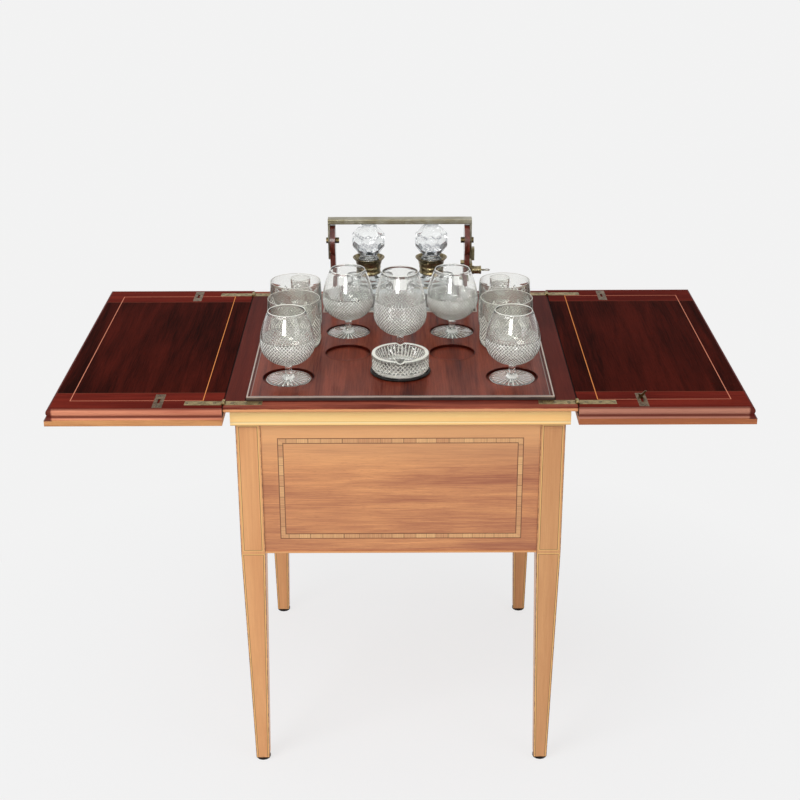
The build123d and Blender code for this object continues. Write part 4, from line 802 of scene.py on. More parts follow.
def arc_points(centre, radii, start, end, count):
    """Points on an ellipse from one angle to another, in degrees from straight down."""
    made = []
    for step in range(count + 1):
        angle = math.radians(start + (end - start) * step / count)
        made.append((centre[0] + radii[0] * math.sin(angle), centre[1] - radii[1] * math.cos(angle)))
    return made


def split_line(start, end, count, bend=1.0):
    """Points from start to end, without start; bend makes the radius change late."""
    made = []
    for step in range(1, count + 1):
        share = step / count
        made.append((start[0] + (end[0] - start[0]) * share ** bend, start[1] + (end[1] - start[1]) * share))
    return made


def scaled(points):
    """Points in millimetres turned to metres."""
    return [(x * MM, z * MM) for x, z in points]


def smooth_faces(bm, keep_flat=()):
    """Shades faces smooth, apart from those that touch a cut row."""
    row = bm.verts.layers.int.get("row")
    flat = set(keep_flat)
    for face in bm.faces:
        face.smooth = not any(vert[row] in flat for vert in face.verts)


def move_all(bm, place):
    """Moves every vertex to a place."""
    bmesh.ops.translate(bm, verts=bm.verts, vec=place)


def radial_cut(bm, row, rows, columns, rays, depth, inner, outer):
    """Grooves that run out from the middle over the given rows, as under a foot."""
    mask = mask_layer(bm, "ray")
    for vert in bm.verts:
        if vert[row] in rows:
            radius = math.hypot(vert.co.x, vert.co.y)
            wave = column_of(vert, columns) * rays / columns % 1.0
            groove = 1.0 - abs(2.0 * wave - 1.0)
            share = min(1.0, max(0.0, (radius - inner) / (0.2 * (outer - inner))))
            share = min(share, max(0.0, (outer - radius) / (0.1 * (outer - inner))))
            vert.co.z += depth * groove * share
            # The ridges between the rays are marked for a painted highlight.
            vert[mask] = (1.0 - groove) ** 2 * share


# ---------------------------------------------------------------- glasses

FOOT_UNDER = [(0.0, 1.0), (7.0, 0.9), (13.0, 0.7), (19.0, 0.5), (25.0, 0.35), (30.5, 0.2), (35.0, 0.0)]
FOOT_TOP = [(36.4, 0.2), (37.0, 0.8), (36.5, 1.5), (34.0, 1.9), (26.0, 2.7), (17.0, 3.9), (10.5, 5.4), (7.4, 7.6),
            (6.0, 10.0), (5.5, 13.0)]


def balloon_mesh(height, belly, cut_top, cuts, depth):
    """Brandy balloon at the origin: star-cut foot, short stem, diamond-cut bowl with a plain rim."""
    columns = cuts * 2
    wide, rim, wall, deep = 45.5, 30.5, 1.5, 37.0
    step = 2 * math.pi * wide / columns * 1.05
    foot = FOOT_UNDER + FOOT_TOP
    stem = [(5.5, belly - deep - 6.0), (5.9, belly - deep - 3.0), (6.6, belly - deep - 1.2)]
    lower = arc_points((0.0, belly), (wide, deep), 9.5, 90.0, round(deep * 1.42 / step))
    rows_up = round((height - belly) / step)
    upper = split_line((wide, belly), (rim, height), rows_up, 1.7)
    rim_edge = [(rim - 0.1, height), (rim - 0.5, height)]
    inside = [(rim - 0.62, height - 0.4)] + split_line((wide - wall, belly), (rim - 0.7, height - 1.4), 14, 1.7)[::-1]
    bottom = arc_points((0.0, belly), (wide - wall, deep - 3.6), 90.0, 0.0, 12)[1:]
    points = foot + stem + lower + upper[:-1] + [(rim + 0.02, height - 1.3), (rim, height - 0.6)] + rim_edge + inside
    points += bottom
    bm = bmesh.new()
    row = spin_profile(bm, scaled(points), columns)
    first = len(foot) + len(stem) + 2
    last = first + len(lower) - 2 + round((cut_top - belly) / step)
    cut_rows = range(first, last + 1)
    radial_cut(bm, row, range(1, len(FOOT_UNDER)), columns, cuts // 2, 0.6 * MM, 7.0 * MM, 35.0 * MM)
    cut_diamonds(bm, row, cut_rows, columns, depth)
    rim_row = len(foot) + len(stem) + len(lower) + rows_up
    # Painted highlights on the rim, the foot's edge and middle, and round the stem.
    brighten_rim(bm, row, range(rim_row, rim_row + 4))
    brighten_rim(bm, row, range(len(FOOT_UNDER), len(FOOT_UNDER) + 2), 0.7)
    brighten_rim(bm, row, range(2), 0.35)
    brighten_rim(bm, row, range(first - 2, first + 5), 0.35)
    smooth_faces(bm, cut_rows)
    return bm


def tumbler_mesh(cuts, depth):
    """Heavy tumbler at the origin, cut between a star-cut base and a plain rim band."""
    columns = cuts * 2
    step = 2 * math.pi * 46.0 / columns * 1.1
    under = [(0.0, 1.4), (8.0, 1.3), (16.0, 1.1), (24.0, 0.9), (31.0, 0.6), (35.5, 0.1), (38.0, 0.0)]
    heel = [(40.4, 0.9), (42.4, 3.2), (44.0, 6.2), (45.2, 9.4), (45.9, 12.4)]
    side = split_line((46.0, 13.0), (46.0, 66.0), round(53.0 / step))
    band = [(45.9, 67.5), (45.7, 70.0), (45.3, 77.0), (44.9, 84.8), (44.9, 85.5), (44.75, 86.0), (44.25, 86.0),
            (44.1, 85.5), (44.1, 84.8)]
    inside = split_line((44.1, 84.8), (41.8, 17.0), 8) + [(40.6, 14.2), (38.4, 12.1), (34.0, 11.0), (20.0, 10.6), (0.0, 10.5)]
    points = under + heel + [(46.0, 13.0)] + side + band + inside
    bm = bmesh.new()
    row = spin_profile(bm, scaled(points), columns)
    first = len(under) + 2
    last = len(under) + len(heel) + len(side)
    cut_rows = range(first, last + 1)

    def reach(vert, column):
        """Lets the cutting run out in scallops under the band."""
        scallop = abs(math.sin(math.pi * column / columns * 12)) * 4 * step * MM
        return 1.0 if vert.co.z < 66.0 * MM - scallop else 0.0
    radial_cut(bm, row, range(1, len(under) - 1), columns, cuts // 3, 1.0 * MM, 3.0 * MM, 36.0 * MM)
    cut_diamonds(bm, row, cut_rows, columns, depth, reach)
    rim_row = last + len(band) - 3
    # Painted highlights on the rim and the heel.
    brighten_rim(bm, row, range(rim_row, rim_row + 2))
    brighten_rim(bm, row, range(len(under), len(under) + len(heel)), 0.3)
    smooth_faces(bm, cut_rows)
    return bm


def liqueur_mesh(depth):
    """Small narrow glass at the origin."""
    columns = 64
    step = 2 * math.pi * 18.5 / columns * 1.1
    under = [(0.0, 1.0), (6.0, 0.8), (12.0, 0.4), (15.9, 0.0)]
    heel = [(17.2, 1.2), (18.0, 4.0), (18.4, 7.4)]
    side = split_line((18.5, 8.0), (18.5, 42.0), round(34.0 / step))
    rim = [(18.5, 48.0), (18.5, 54.9), (18.5, 55.4), (18.2, 56.0), (17.5, 56.0), (17.2, 55.4)]
    inside = [(17.2, 54.9), (16.2, 30.0), (14.6, 12.0), (13.5, 9.4), (10.0, 9.0), (0.0, 9.0)]
    points = under + heel + [(18.5, 8.0)] + side + rim + inside
    bm = bmesh.new()
    row = spin_profile(bm, scaled(points), columns)
    cut_rows = range(len(under) + len(heel) + 1, len(under) + len(heel) + len(side))
    cut_diamonds(bm, row, cut_rows, columns, depth)
    rim_row = len(under) + len(heel) + 1 + len(side) + 3
    # Painted highlight on the rim.
    brighten_rim(bm, row, range(rim_row, rim_row + 2))
    smooth_faces(bm, cut_rows)
    return bm


# ---------------------------------------------------------------- decanters

SIDE_STEPS, CORNER_STEPS = 22, 2
CHAMFER_SHARE = 7.0 / 44.0


def square_point(column):
    """Point on a square with cut corners, one across from its middle to a side, for a column."""
    per_eighth = SIDE_STEPS + CORNER_STEPS
    eighth, place = divmod(column, per_eighth)
    if eighth % 2:
        place = per_eighth - place
    if place <= SIDE_STEPS:
        point = Vector((1.0, (1.0 - CHAMFER_SHARE) * place / SIDE_STEPS))
    else:
        share = (place - SIDE_STEPS) / CORNER_STEPS
        point = Vector((1.0 - CHAMFER_SHARE / 2 * share, 1.0 - CHAMFER_SHARE + CHAMFER_SHARE / 2 * share))
    if eighth % 2:
        point = Vector((point.y, point.x))
    point.rotate(Matrix.Rotation(math.pi / 2 * (eighth // 2), 2))
    return point


def decanter_mesh(depth):
    """Square decanter at the origin: cut sides, plain shoulders and a round neck."""
    columns = 8 * (SIDE_STEPS + CORNER_STEPS)
    step = 88.0 / (2 * SIDE_STEPS + 4) * 2.1
    under = [(0.0, 2.2, 1), (12.0, 2.0, 1), (24.0, 1.6, 1), (34.0, 1.0, 1), (39.0, 0.2, 1), (41.5, 0.0, 1)]
    heel = [(43.0, 0.6, 1), (43.8, 1.8, 1), (44.0, 3.5, 1)]
    side = [(r, z, 1) for r, z in split_line((44.0, 5.0), (44.0, 66.0), round(61.0 / step * 2))]
    plain = [(44.0, 70.0, 1), (44.0, 97.0, 1), (43.6, 101.0, 1), (42.4, 104.4, 1), (40.2, 107.2, 1), (37.0, 108.9, 1)]
    neck = [(33.0, 109.5, 0.8), (28.0, 110.2, 0.35), (24.5, 111.4, 0), (22.6, 113.4, 0), (22.2, 116.0, 0),
            (21.0, 118.4, 0), (19.0, 119.6, 0), (19.0, 146.4, 0), (18.5, 147.0, 0), (12.6, 147.0, 0), (12.1, 146.4, 0)]
    inside = [(12.0, 112.0, 0), (13.0, 106.0, 0), (17.0, 102.4, 0.2), (24.0, 100.6, 0.6), (31.0, 99.2, 1),
              (35.0, 97.0, 1), (36.8, 93.0, 1), (37.0, 88.0, 1), (37.0, 20.0, 1), (36.2, 15.6, 1), (33.5, 13.0, 1),
              (29.0, 12.2, 1), (15.0, 12.6, 0.6), (0.0, 13.0, 0)]
    profile = under + heel + [(44.0, 5.0, 1)] + side + plain + neck + inside
    bm = bmesh.new()
    row = spin_profile(bm, scaled([(r, z) for r, z, _ in profile]), columns)
    for vert in bm.verts:
        radius, _, squareness = profile[vert[row]]
        flat = Vector(vert.co.xy)
        corner = square_point(column_of(vert, columns)) * radius * MM
        vert.co.xy = flat.lerp(corner, squareness)
    radial_cut(bm, row, range(1, len(under) - 2), columns, 32, 1.4 * MM, 2.0 * MM, 36.0 * MM)
    first = len(under) + len(heel) + 1
    cut_rows = range(first, first + len(side) - 1)
    per_side = 2 * (SIDE_STEPS + CORNER_STEPS)

    def reach(vert, column):
        """Keeps the corners plain and ends the cutting in a low arch."""
        across = (column + per_side // 2) % per_side - per_side // 2
        share = abs(across) / (per_side // 2)
        top = (66.0 - 20.0 * share ** 2) * MM
        return 1.0 if share < 0.84 and vert.co.z < top else 0.0
    cut_diamonds(bm, row, cut_rows, columns, depth, reach)
    smooth_faces(bm, list(cut_rows) + list(range(len(under), len(under) + len(heel) + 1)))
    return bm


def collar_mesh():
    """Turned collar with a banded skirt and a flared lip, standing on z = 0."""
    outside = [(19.3, 0.0), (21.6, 0.0), (22.1, 0.5), (22.1, 2.2), (21.5, 2.8), (21.5, 9.6), (22.2, 10.2),
               (22.2, 11.8), (21.7, 12.4), (22.3, 15.5), (23.6, 19.5), (23.9, 21.6), (24.6, 23.6), (26.8, 26.4),
               (28.9, 28.6), (29.5, 29.4), (29.4, 29.9), (28.8, 30.0)]
    inside = [(27.4, 28.8), (25.0, 26.4), (22.4, 24.6), (20.0, 23.4), (19.3, 22.6)]
    bm = bmesh.new()
    spin_profile(bm, scaled(outside + inside), 96, closed=True)
    smooth_faces(bm)
    return bm


def cut_ball(bm, centre, radius):
    """Adds a ball of large flat facets in staggered rows."""
    facets = bmesh.new()
    bmesh.ops.create_cube(facets, size=2.2 * radius)
    rows = [(0.0, 8, 0.0, 0.945), (37.0, 8, 0.5, 0.945), (-37.0, 8, 0.5, 0.945), (66.0, 4, 0.0, 0.945),
            (-66.0, 4, 0.0, 0.945), (90.0, 1, 0.0, 0.9), (-90.0, 1, 0.0, 0.871)]
    for tilt, count, offset, reach in rows:
        for place in range(count):
            turn = 2 * math.pi * (place + offset) / count
            rise = math.radians(tilt)
            way = Vector((math.cos(rise) * math.cos(turn), math.cos(rise) * math.sin(turn), math.sin(rise)))
            slice_off(facets, way * radius * reach, way)
    move_all(facets, centre)
    join(bm, facets)


def slice_off(bm, point, way):
    """Cuts away what lies beyond a plane and closes the cut."""
    geom = bm.verts[:] + bm.edges[:] + bm.faces[:]
    cut = bmesh.ops.bisect_plane(bm, geom=geom, dist=1e-7, plane_co=point, plane_no=way, clear_outer=True)
    edges = [item for item in cut["geom_cut"] if isinstance(item, bmesh.types.BMEdge)]
    if len(edges) > 2:
        bmesh.ops.contextual_create(bm, geom=edges)


def join(bm, other):
    """Adds another bmesh and frees it."""
    carried = bpy.data.meshes.new("carried")
    other.to_mesh(carried)
    other.free()
    bm.from_mesh(carried)
    bpy.data.meshes.remove(carried)


def stopper_mesh():
    """Ball stopper whose ground peg goes down from z = 0."""
    bm = bmesh.new()
    peg = [(0.0, -26.0), (9.4, -26.0), (9.9, -25.5), (11.2, -0.6), (11.4, 0.5), (15.4, 0.5), (16.6, 1.2), (16.6, 2.6),
           (15.2, 3.6), (13.0, 4.8), (12.6, 6.0), (13.4, 6.9), (0.0, 6.9)]
    spin_profile(bm, scaled(peg), 48)
    smooth_faces(bm)
    cut_ball(bm, Vector((0.0, 0.0, 34.0 * MM)), 31.0 * MM)
    return bm


def shade_facets(bm, centre_z, radius):
    """Marks the lower facets of the stoppers for painted shade and the middle ones for a painted highlight."""
    dark, painted_highlight = (bm.faces.layers.float.new(name) for name in ("peak", "rim"))
    for face in bm.faces:
        height = (face.calc_center_median().z - centre_z) / radius
        if height < -0.95 or face.calc_area() < (3.0 * MM) ** 2:
            continue
        if face.normal.z < -0.3:
            face[dark] = 0.8
        elif face.normal.z < 0.3:
            face[painted_highlight] = 0.22


# ---------------------------------------------------------------- metalwork

def add_screw(bm, centre, way, radius, height, slot_turn):
    """Adds a slotted screw head, as two halves either side of its slot."""
    way = Vector(way)
    frame_turn = way.to_track_quat("Z", "Y").to_matrix().to_4x4() @ Matrix.Rotation(slot_turn, 4, "Z")
    place = Matrix.Translation(Vector(centre) + way * height / 2) @ frame_turn
    for side in (-1, 1):
        half = bmesh.new()
        bmesh.ops.create_cone(half, cap_ends=True, segments=28, radius1=radius, radius2=radius * 0.94, depth=height)
        edge = Vector((0.13 * radius * side, 0.0, 0.0))
        slice_off(half, edge, Vector((-side, 0.0, 0.0)))
        bmesh.ops.transform(half, matrix=place, verts=half.verts)
        join(bm, half)


def add_knuckle(bm, x, y0, y1, z, radius):
    """Adds a hinge barrel along Y."""
    add_rod(bm, (x, y0, z), (x, y1, z), radius, 32, 0.35 * MM)


# ---------------------------------------------------------------- where things stand

HINGE_X = middle("hinge_pins").x + (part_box("hinge_pins")[1].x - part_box("hinge_pins")[0].x) / 2 - 1.25 * MM
AXIS_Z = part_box("hinge_pins")[1].z - 1.25 * MM
TABLE_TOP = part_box("top_rails")[1].z
STRAP_WIDTH = 17.0 * MM
STRAP_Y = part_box("hinge_pins")[1].y - STRAP_WIDTH / 2
TRAY_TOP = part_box("tray_board")[1].z
TANTALUS_Y = middle("left_decanter").y
PIVOT_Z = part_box("bail_bar")[1].z - 42.0 * MM
LOCK_Z = PIVOT_Z - 58.0 * MM
FOOT_HALF = 11.5 * MM
CLAMP_WIDTH = 65.0 * MM
STRING_X = (315.0 * MM, 527.5 * MM)
END_RAIL = 24.0 * MM
STRING_Y = 260.0 * MM
# The right facing is redder in tone and darker by painted shade for the side away from the key lamp.
FACING_TONES_AND_SHADE = {"left": (tint(210, 147, 90), tint(168, 104, 58)), "right": (tint(208, 128, 70), tint(162, 90, 48))}
# Share of the satinwood colour on each side; the darker right is painted shade.
LEG_SHADE = {"left": 1.0, "right": 0.84}
# Share of the lightening towards the top, by a face's upward axis.
UPWARD_LIGHTENING = {"Z": 1.0, "Y": 0.0}
# Share of the greyer tone in each moulding.
MOULDING_GREYING = {"left": 0.0, "right": 0.45}
RECESS_RADII = {"front_{}_balloon": 42.5, "middle_{}_balloon": 39.0, "front_{}_tumbler": 44.5,
                "back_{}_tumbler": 44.5, "back_{}_liqueur_glass": 20.0}
EMPTY_RECESS = (89.5 * MM, -58.0 * MM)


def recess_places():
    """Middle and radius of every recess of the tray."""
    tall = middle("tall_balloon")
    places = [(tall.x, tall.y, 39.0 * MM)]
    for side, way in SIDES.items():
        places.append((way * EMPTY_RECESS[0], EMPTY_RECESS[1], 39.0 * MM))
        for node, radius in RECESS_RADII.items():
            spot = middle(node.format(side))
            places.append((spot.x, spot.y, radius * MM))
    return places


def shared(name, maker, *values, **options):
    """A material that several pieces use, made once."""
    return bpy.data.materials.get(name) or maker(name, *values, **options)


def brass():
    """Aged brass of the hinges and catches."""
    colours = bpy.context.scene.table_colours
    return shared("aged_brass", metal, colours.brass, colours.brass_tarnish, amount=0.52, size=9.0 * MM)


def dark_brass():
    """Darkened brass of screws, bolts and nuts."""
    colours = bpy.context.scene.table_colours
    return shared("dark_brass", metal, colours.collar_tarnish, colours.brass_tarnish, amount=0.45, size=4.0 * MM)


def cut_glass():
    """Clear lead glass."""
    colours = bpy.context.scene.table_colours
    return shared("lead_glass", clear_glass, colours.glass, colours.cut_face, colours.cut_line)


def tumbler_glass():
    """Slightly warm lead glass of the tumblers."""
    colours = bpy.context.scene.table_colours
    return shared("warm_lead_glass", clear_glass, colours.glass, colours.cut_face, colours.warm_line, haze=0.03)


def thick_glass():
    """Greyer lead glass of the decanters."""
    colours = bpy.context.scene.table_colours
    return shared("decanter_lead_glass", clear_glass, colours.thick_glass, colours.cut_face, colours.cut_line)


# ---------------------------------------------------------------- operators

class DRINKS_OT_effects(Operator):
    """Builds the node groups that the materials share"""
    bl_idname = "drinks_table.effects"
    bl_label = "Shared Effects"

    def execute(self, context):
        """Makes every shared group once."""
        for maker in (make_wood_group, make_rectangle_group, make_line_group, make_band_group,
                      make_metal_group, make_dirt_group):
            maker()
        return {"FINISHED"}


class DRINKS_OT_carcase(Operator):
    """Dresses the legs, panels, cornice, rails and glides"""
    bl_idname = "drinks_table.carcase"
    bl_label = "Carcase"

    def execute(self, context):
        """Gives the fixed wooden pieces their inlaid woods."""
        colours, sizes = context.scene.table_colours, context.scene.table_sizes
        for depth in ("front", "back"):
            for side in SIDES:
                finish(f"{depth}_{side}_leg", leg_wood(f"satinwood_{depth}_{side}", f"{depth}_{side}_leg"))
        for name, flat, grain in (("front_panel", ("X", "Z"), "X"), ("back_panel", ("X", "Z"), "X"),
                                  ("left_panel", ("Y", "Z"), "Y"), ("right_panel", ("Y", "Z"), "Y")):
            low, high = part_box(name)
            axes = ["XYZ".index(axis) for axis in flat]
            centre = [(low[k] + high[k]) / 2 for k in axes]
            half = [(high[k] - low[k]) / 2 - sizes.panel_inset for k in axes]
            finish(name, banded_wood(f"{name}_wood", flat, centre, half, grain, colours.panel_light,
                                     colours.panel_dark))
        finish("panel_beads", plain_wood("bead_satinwood", "X", colours.satin_light, colours.satin_dark, 0.7))
        finish("cornice_strips", cornice_wood("cornice_satinwood"))
        finish("top_rails", rail_wood("rail_mahogany"))
        finish("box_floor", plain_wood("floor_wood", "X", colours.panel_light, colours.panel_dark, coat=0.0,
                                       roughness=0.6))
        finish("foot_glides", metal("glide_iron", tint(52, 46, 42), tint(28, 24, 22), roughness=0.5))
        return {"FINISHED"}


class DRINKS_OT_leaves(Operator):
    """Dresses the two leaves, their mouldings, facings and catches"""
    bl_idname = "drinks_table.leaves"
    bl_label = "Leaves"

    def execute(self, context):
        """Gives each leaf its boards, moulding and crossbanded face."""
        colours = context.scene.table_colours
        for side, way in SIDES.items():
            finish(f"{side}_leaf_boards", leaf_wood(f"{side}_leaf_mahogany", way))
            finish(f"{side}_leaf_moulding", moulding_wood(f"{side}_moulding_mahogany", MOULDING_GREYING[side]))
            low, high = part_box(f"{side}_leaf_facing")
            centre = ((low.x + high.x) / 2, 0.0)
            half = ((high.x - low.x) / 2 - 34.0 * MM, high.y - 34.0 * MM)
            light, dark = FACING_TONES_AND_SHADE[side]
            finish(f"{side}_leaf_facing", banded_wood(f"{side}_facing_wood", ("X", "Y"), centre, half, "X", light, dark,
                                                      (low, high)))
            finish(f"{side}_leaf_catches", shared("catch_brass", metal, colours.catch, colours.catch_tarnish,
                                                  size=9.0 * MM))
        return {"FINISHED"}


class DRINKS_OT_hinges(Operator):
    """Makes the inset hinges and their slotted screws"""
    bl_idname = "drinks_table.hinges"
    bl_label = "Hinges"

    def execute(self, context):
        """Builds the plates on the frame and the straps on each leaf."""
        bevel = context.scene.table_sizes.plate_bevel
        fixed = bmesh.new()
        for side in SIDES.values():
            for end in (-1, 1):
                self.plate(fixed, side, end, -side, ((-8.5, -3.6), (3.6, 8.5)), bevel)
                add_rod(fixed, (side * HINGE_X, end * STRAP_Y - 8.5 * MM, AXIS_Z),
                        (side * HINGE_X, end * STRAP_Y + 8.5 * MM, AXIS_Z), 1.25 * MM, 20)
        keep(fixed, "frame_hinges", "carcase", brass(), ("frame_hinge_plates", "hinge_pins"))
        self.screws("frame_hinge_screws", "carcase", [(side * (HINGE_X - spot * MM), end * STRAP_Y)
                                                     for side in SIDES.values() for end in (-1, 1)
                                                     for spot in (14, 36, 58)])
        for name, side in SIDES.items():
            strap = bmesh.new()
            for end in (-1, 1):
                self.plate(strap, side, end, side, ((-3.3, 3.3),), bevel)
            keep(strap, f"{name}_leaf_hinges", f"{name}_leaf", brass(), (f"{name}_leaf_straps",))
            spots = [(side * (HINGE_X + spot * MM), end * STRAP_Y) for end in (-1, 1) for spot in (14, 36, 58)]
            self.screws(f"{name}_hinge_screws", f"{name}_leaf", spots)
            low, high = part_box(f"{name}_leaf_catches")
            catch_y = high.y - 28.0 * MM
            spots = [(side * (HINGE_X + 104.0 * MM), end * catch_y + off) for end in (-1, 1)
                     for off in (-22.0 * MM, 22.0 * MM)]
            self.screws(f"{name}_catch_screws", f"{name}_leaf", spots)
        return {"FINISHED"}

    def plate(self, bm, side, end, way, spans, bevel):
        """One leaf of a hinge, with its barrels over the given spans in millimetres."""
        y0, y1 = end * STRAP_Y - STRAP_WIDTH / 2, end * STRAP_Y + STRAP_WIDTH / 2
        line = side * HINGE_X
        xs = sorted((line + way * 3.5 * MM, line + way * 62.0 * MM))
        add_box(bm, (xs[0], y0, TABLE_TOP - 1.8 * MM), (xs[1], y1, TABLE_TOP + 0.05 * MM), bevel)
        for start, stop in spans:
            ys = (end * STRAP_Y + start * MM, end * STRAP_Y + stop * MM)
            necks = sorted((line + way * 1.0 * MM, line + way * 3.7 * MM))
            add_box(bm, (necks[0], ys[0], TABLE_TOP - 1.8 * MM), (necks[1], ys[1], TABLE_TOP), 0.2 * MM)
            add_knuckle(bm, line, *ys, AXIS_Z, 3.2 * MM)

    def screws(self, name, body, spots):
        """Slotted screws at the given places on the table's top."""
        bm = bmesh.new()
        for turn, (x, y) in enumerate(spots):
            add_screw(bm, (x, y, TABLE_TOP - 0.43 * MM), (0, 0, 1), 2.9 * MM, 0.55 * MM, turn * 0.7)
        keep(bm, name, body, dark_brass())


class DRINKS_OT_tray(Operator):
    """Dresses the rising tray, its metal edging and its well"""
    bl_idname = "drinks_table.tray"
    bl_label = "Tray"

    def execute(self, context):
        """Gives the tray its wood and rounds the edges of its recesses."""
        colours = context.scene.table_colours
        surface = plain_wood("tray_mahogany", "Y", colours.tray_light, colours.tray_dark, 1.5, 0.8,
                             roughness=0.26, coat=0.0, gloss=0.06)
        finish("tray_board", tray_wood("tray_board_mahogany"))
        finish("tray_base", recess_wood("shaded_tray_base_mahogany"))
        finish("well_boards", surface)
        finish("tray_rim", rim_metal("tray_edging"))
        self.recesses(colours)
        return {"FINISHED"}

    def recesses(self, colours):
        """Turned linings of the recesses, level with the board, in darker wood as painted shade."""
        bm = bmesh.new()
        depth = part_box("tray_board")[0].z - TRAY_TOP
        for x, y, radius in recess_places():
            ring = bmesh.new()
            inner, outer = radius * 0.987 - 0.1 * MM, radius + 0.5 * MM
            profile = [(outer, depth), (outer, 0.02 * MM), (inner + 0.5 * MM, 0.02 * MM),
                       (inner + 0.15 * MM, -0.15 * MM), (inner, -0.5 * MM), (inner, depth)]
            spin_profile(ring, profile, 96, closed=True)
            move_all(ring, (x, y, TRAY_TOP))
            join(bm, ring)
        # The linings take the darker leaf mahogany as painted shade on the recess walls.
        shaded_lining = plain_wood("lining_mahogany", "Z", colours.mahogany_light, colours.mahogany_dark, coat=0.0, gloss=0.02)
        keep(bm, "recess_linings", "tray", shaded_lining)


class DRINKS_OT_lift(Operator):
    """Dresses the arms, rods, channels and springs under the tray"""
    bl_idname = "drinks_table.lift"
    bl_label = "Lift"

    def execute(self, context):
        """Gives the lift its oiled steel."""
        colours = context.scene.table_colours
        steel = metal("lift_steel", colours.steel, colours.steel_dark, 0.5, 30.0 * MM)
        for node in ("lift_base_fittings", "lift_top_fittings", "lift_springs", "floor_lift_arms",
                     "floor_arm_rods", "tray_lift_arms", "tray_arm_rods"):
            finish(node, steel)
        return {"FINISHED"}


class DRINKS_OT_tantalus(Operator):
    """Makes the tantalus: plinth, uprights, locking bail and key"""
    bl_idname = "drinks_table.tantalus"
    bl_label = "Tantalus"

    def execute(self, context):
        """Dresses the stand and builds its lock."""
        colours = context.scene.table_colours
        finish("tantalus_plinth", shared("stand_mahogany", plain_wood, "X", colours.mahogany_light,
                                         colours.mahogany_dark))
        finish("tantalus_uprights", plain_wood("upright_mahogany", "Z", tint(150, 70, 56), colours.mahogany_dark,
                                               roughness=0.25, coat=0.6))
        plate = metal("worn_nickel", colours.nickel, colours.nickel_tarnish, 0.5, 40.0 * MM, roughness=0.34)
        for node in ("bail_bar", "bail_straps"):
            finish(node, plate)
        finish("pivot_bolts", dark_brass())
        self.lock()
        self.key()
        return {"FINISHED"}

    def lock(self):
        """Lock case with its barrel, collar and nuts."""
        colours = bpy.context.scene.table_colours
        low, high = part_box("tantalus_lock")
        face = high.x - 17.0 * MM
        bm = bmesh.new()
        add_box(bm, (face - 5.5 * MM, TANTALUS_Y - 15 * MM, LOCK_Z - 17 * MM),
                (face, TANTALUS_Y + 15 * MM, LOCK_Z + 17 * MM), 1.0 * MM)
        add_rod(bm, (face - 0.5 * MM, TANTALUS_Y, LOCK_Z), (face + 4.0 * MM, TANTALUS_Y, LOCK_Z), 8.0 * MM, 48, 0.8 * MM)
        barrel = [(0.0, 2.2), (1.9, 2.2), (1.9, 12.9), (2.4, 13.0), (7.2, 13.0), (7.8, 12.4), (7.8, 10.2), (7.2, 9.6),
                  (7.2, 0.0), (0.0, 0.0)]
        turned = bmesh.new()
        spin_profile(turned, scaled(barrel), 48)
        bmesh.ops.rotate(turned, verts=turned.verts, matrix=Matrix.Rotation(math.pi / 2, 3, "Y"))
        move_all(turned, (face + 4.0 * MM, TANTALUS_Y, LOCK_Z))
        join(bm, turned)
        for side in (-1, 1):
            nut = bmesh.new()
            bmesh.ops.create_cone(nut, cap_ends=True, segments=6, radius1=4.5 * MM, radius2=4.5 * MM,
                                  depth=6.4 * MM, matrix=Matrix.Rotation(math.pi / 2, 4, "Y"))
            bmesh.ops.bevel(nut, geom=nut.edges[:], offset=0.3 * MM, offset_type="OFFSET", segments=2,
                            profile=0.5, affect="EDGES", material=-1)
            move_all(nut, (low.x + 3.25 * MM, TANTALUS_Y, LOCK_Z + side * 15.0 * MM))
            join(bm, nut)
        keep(bm, "lock_and_nuts", "tray",
             shared("lock_metal", metal, colours.collar, colours.collar_tarnish, amount=0.45, size=6.0 * MM),
             ("tantalus_lock",))

    def key(self):
        """Key with a round shank and an open bow."""
        low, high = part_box("lock_key")
        bm = bmesh.new()
        add_rod(bm, (low.x, TANTALUS_Y, LOCK_Z), (high.x - 10.6 * MM, TANTALUS_Y, LOCK_Z), 1.8 * MM, 24, 0.3 * MM)
        bow = bmesh.new()
        ring = [(4.6 + 0.9 * math.cos(turn), 0.8 * math.sin(turn))
                for turn in (2 * math.pi * place / 12 for place in range(12))]
        spin_profile(bow, scaled(ring), 40, closed=True)
        move_all(bow, (high.x - 5.5 * MM, TANTALUS_Y, LOCK_Z))
        join(bm, bow)
        keep(bm, "key", "key", shared("key_steel", metal, tint(170, 160, 136), tint(80, 72, 56)),
             ("lock_key",), smooth=True)


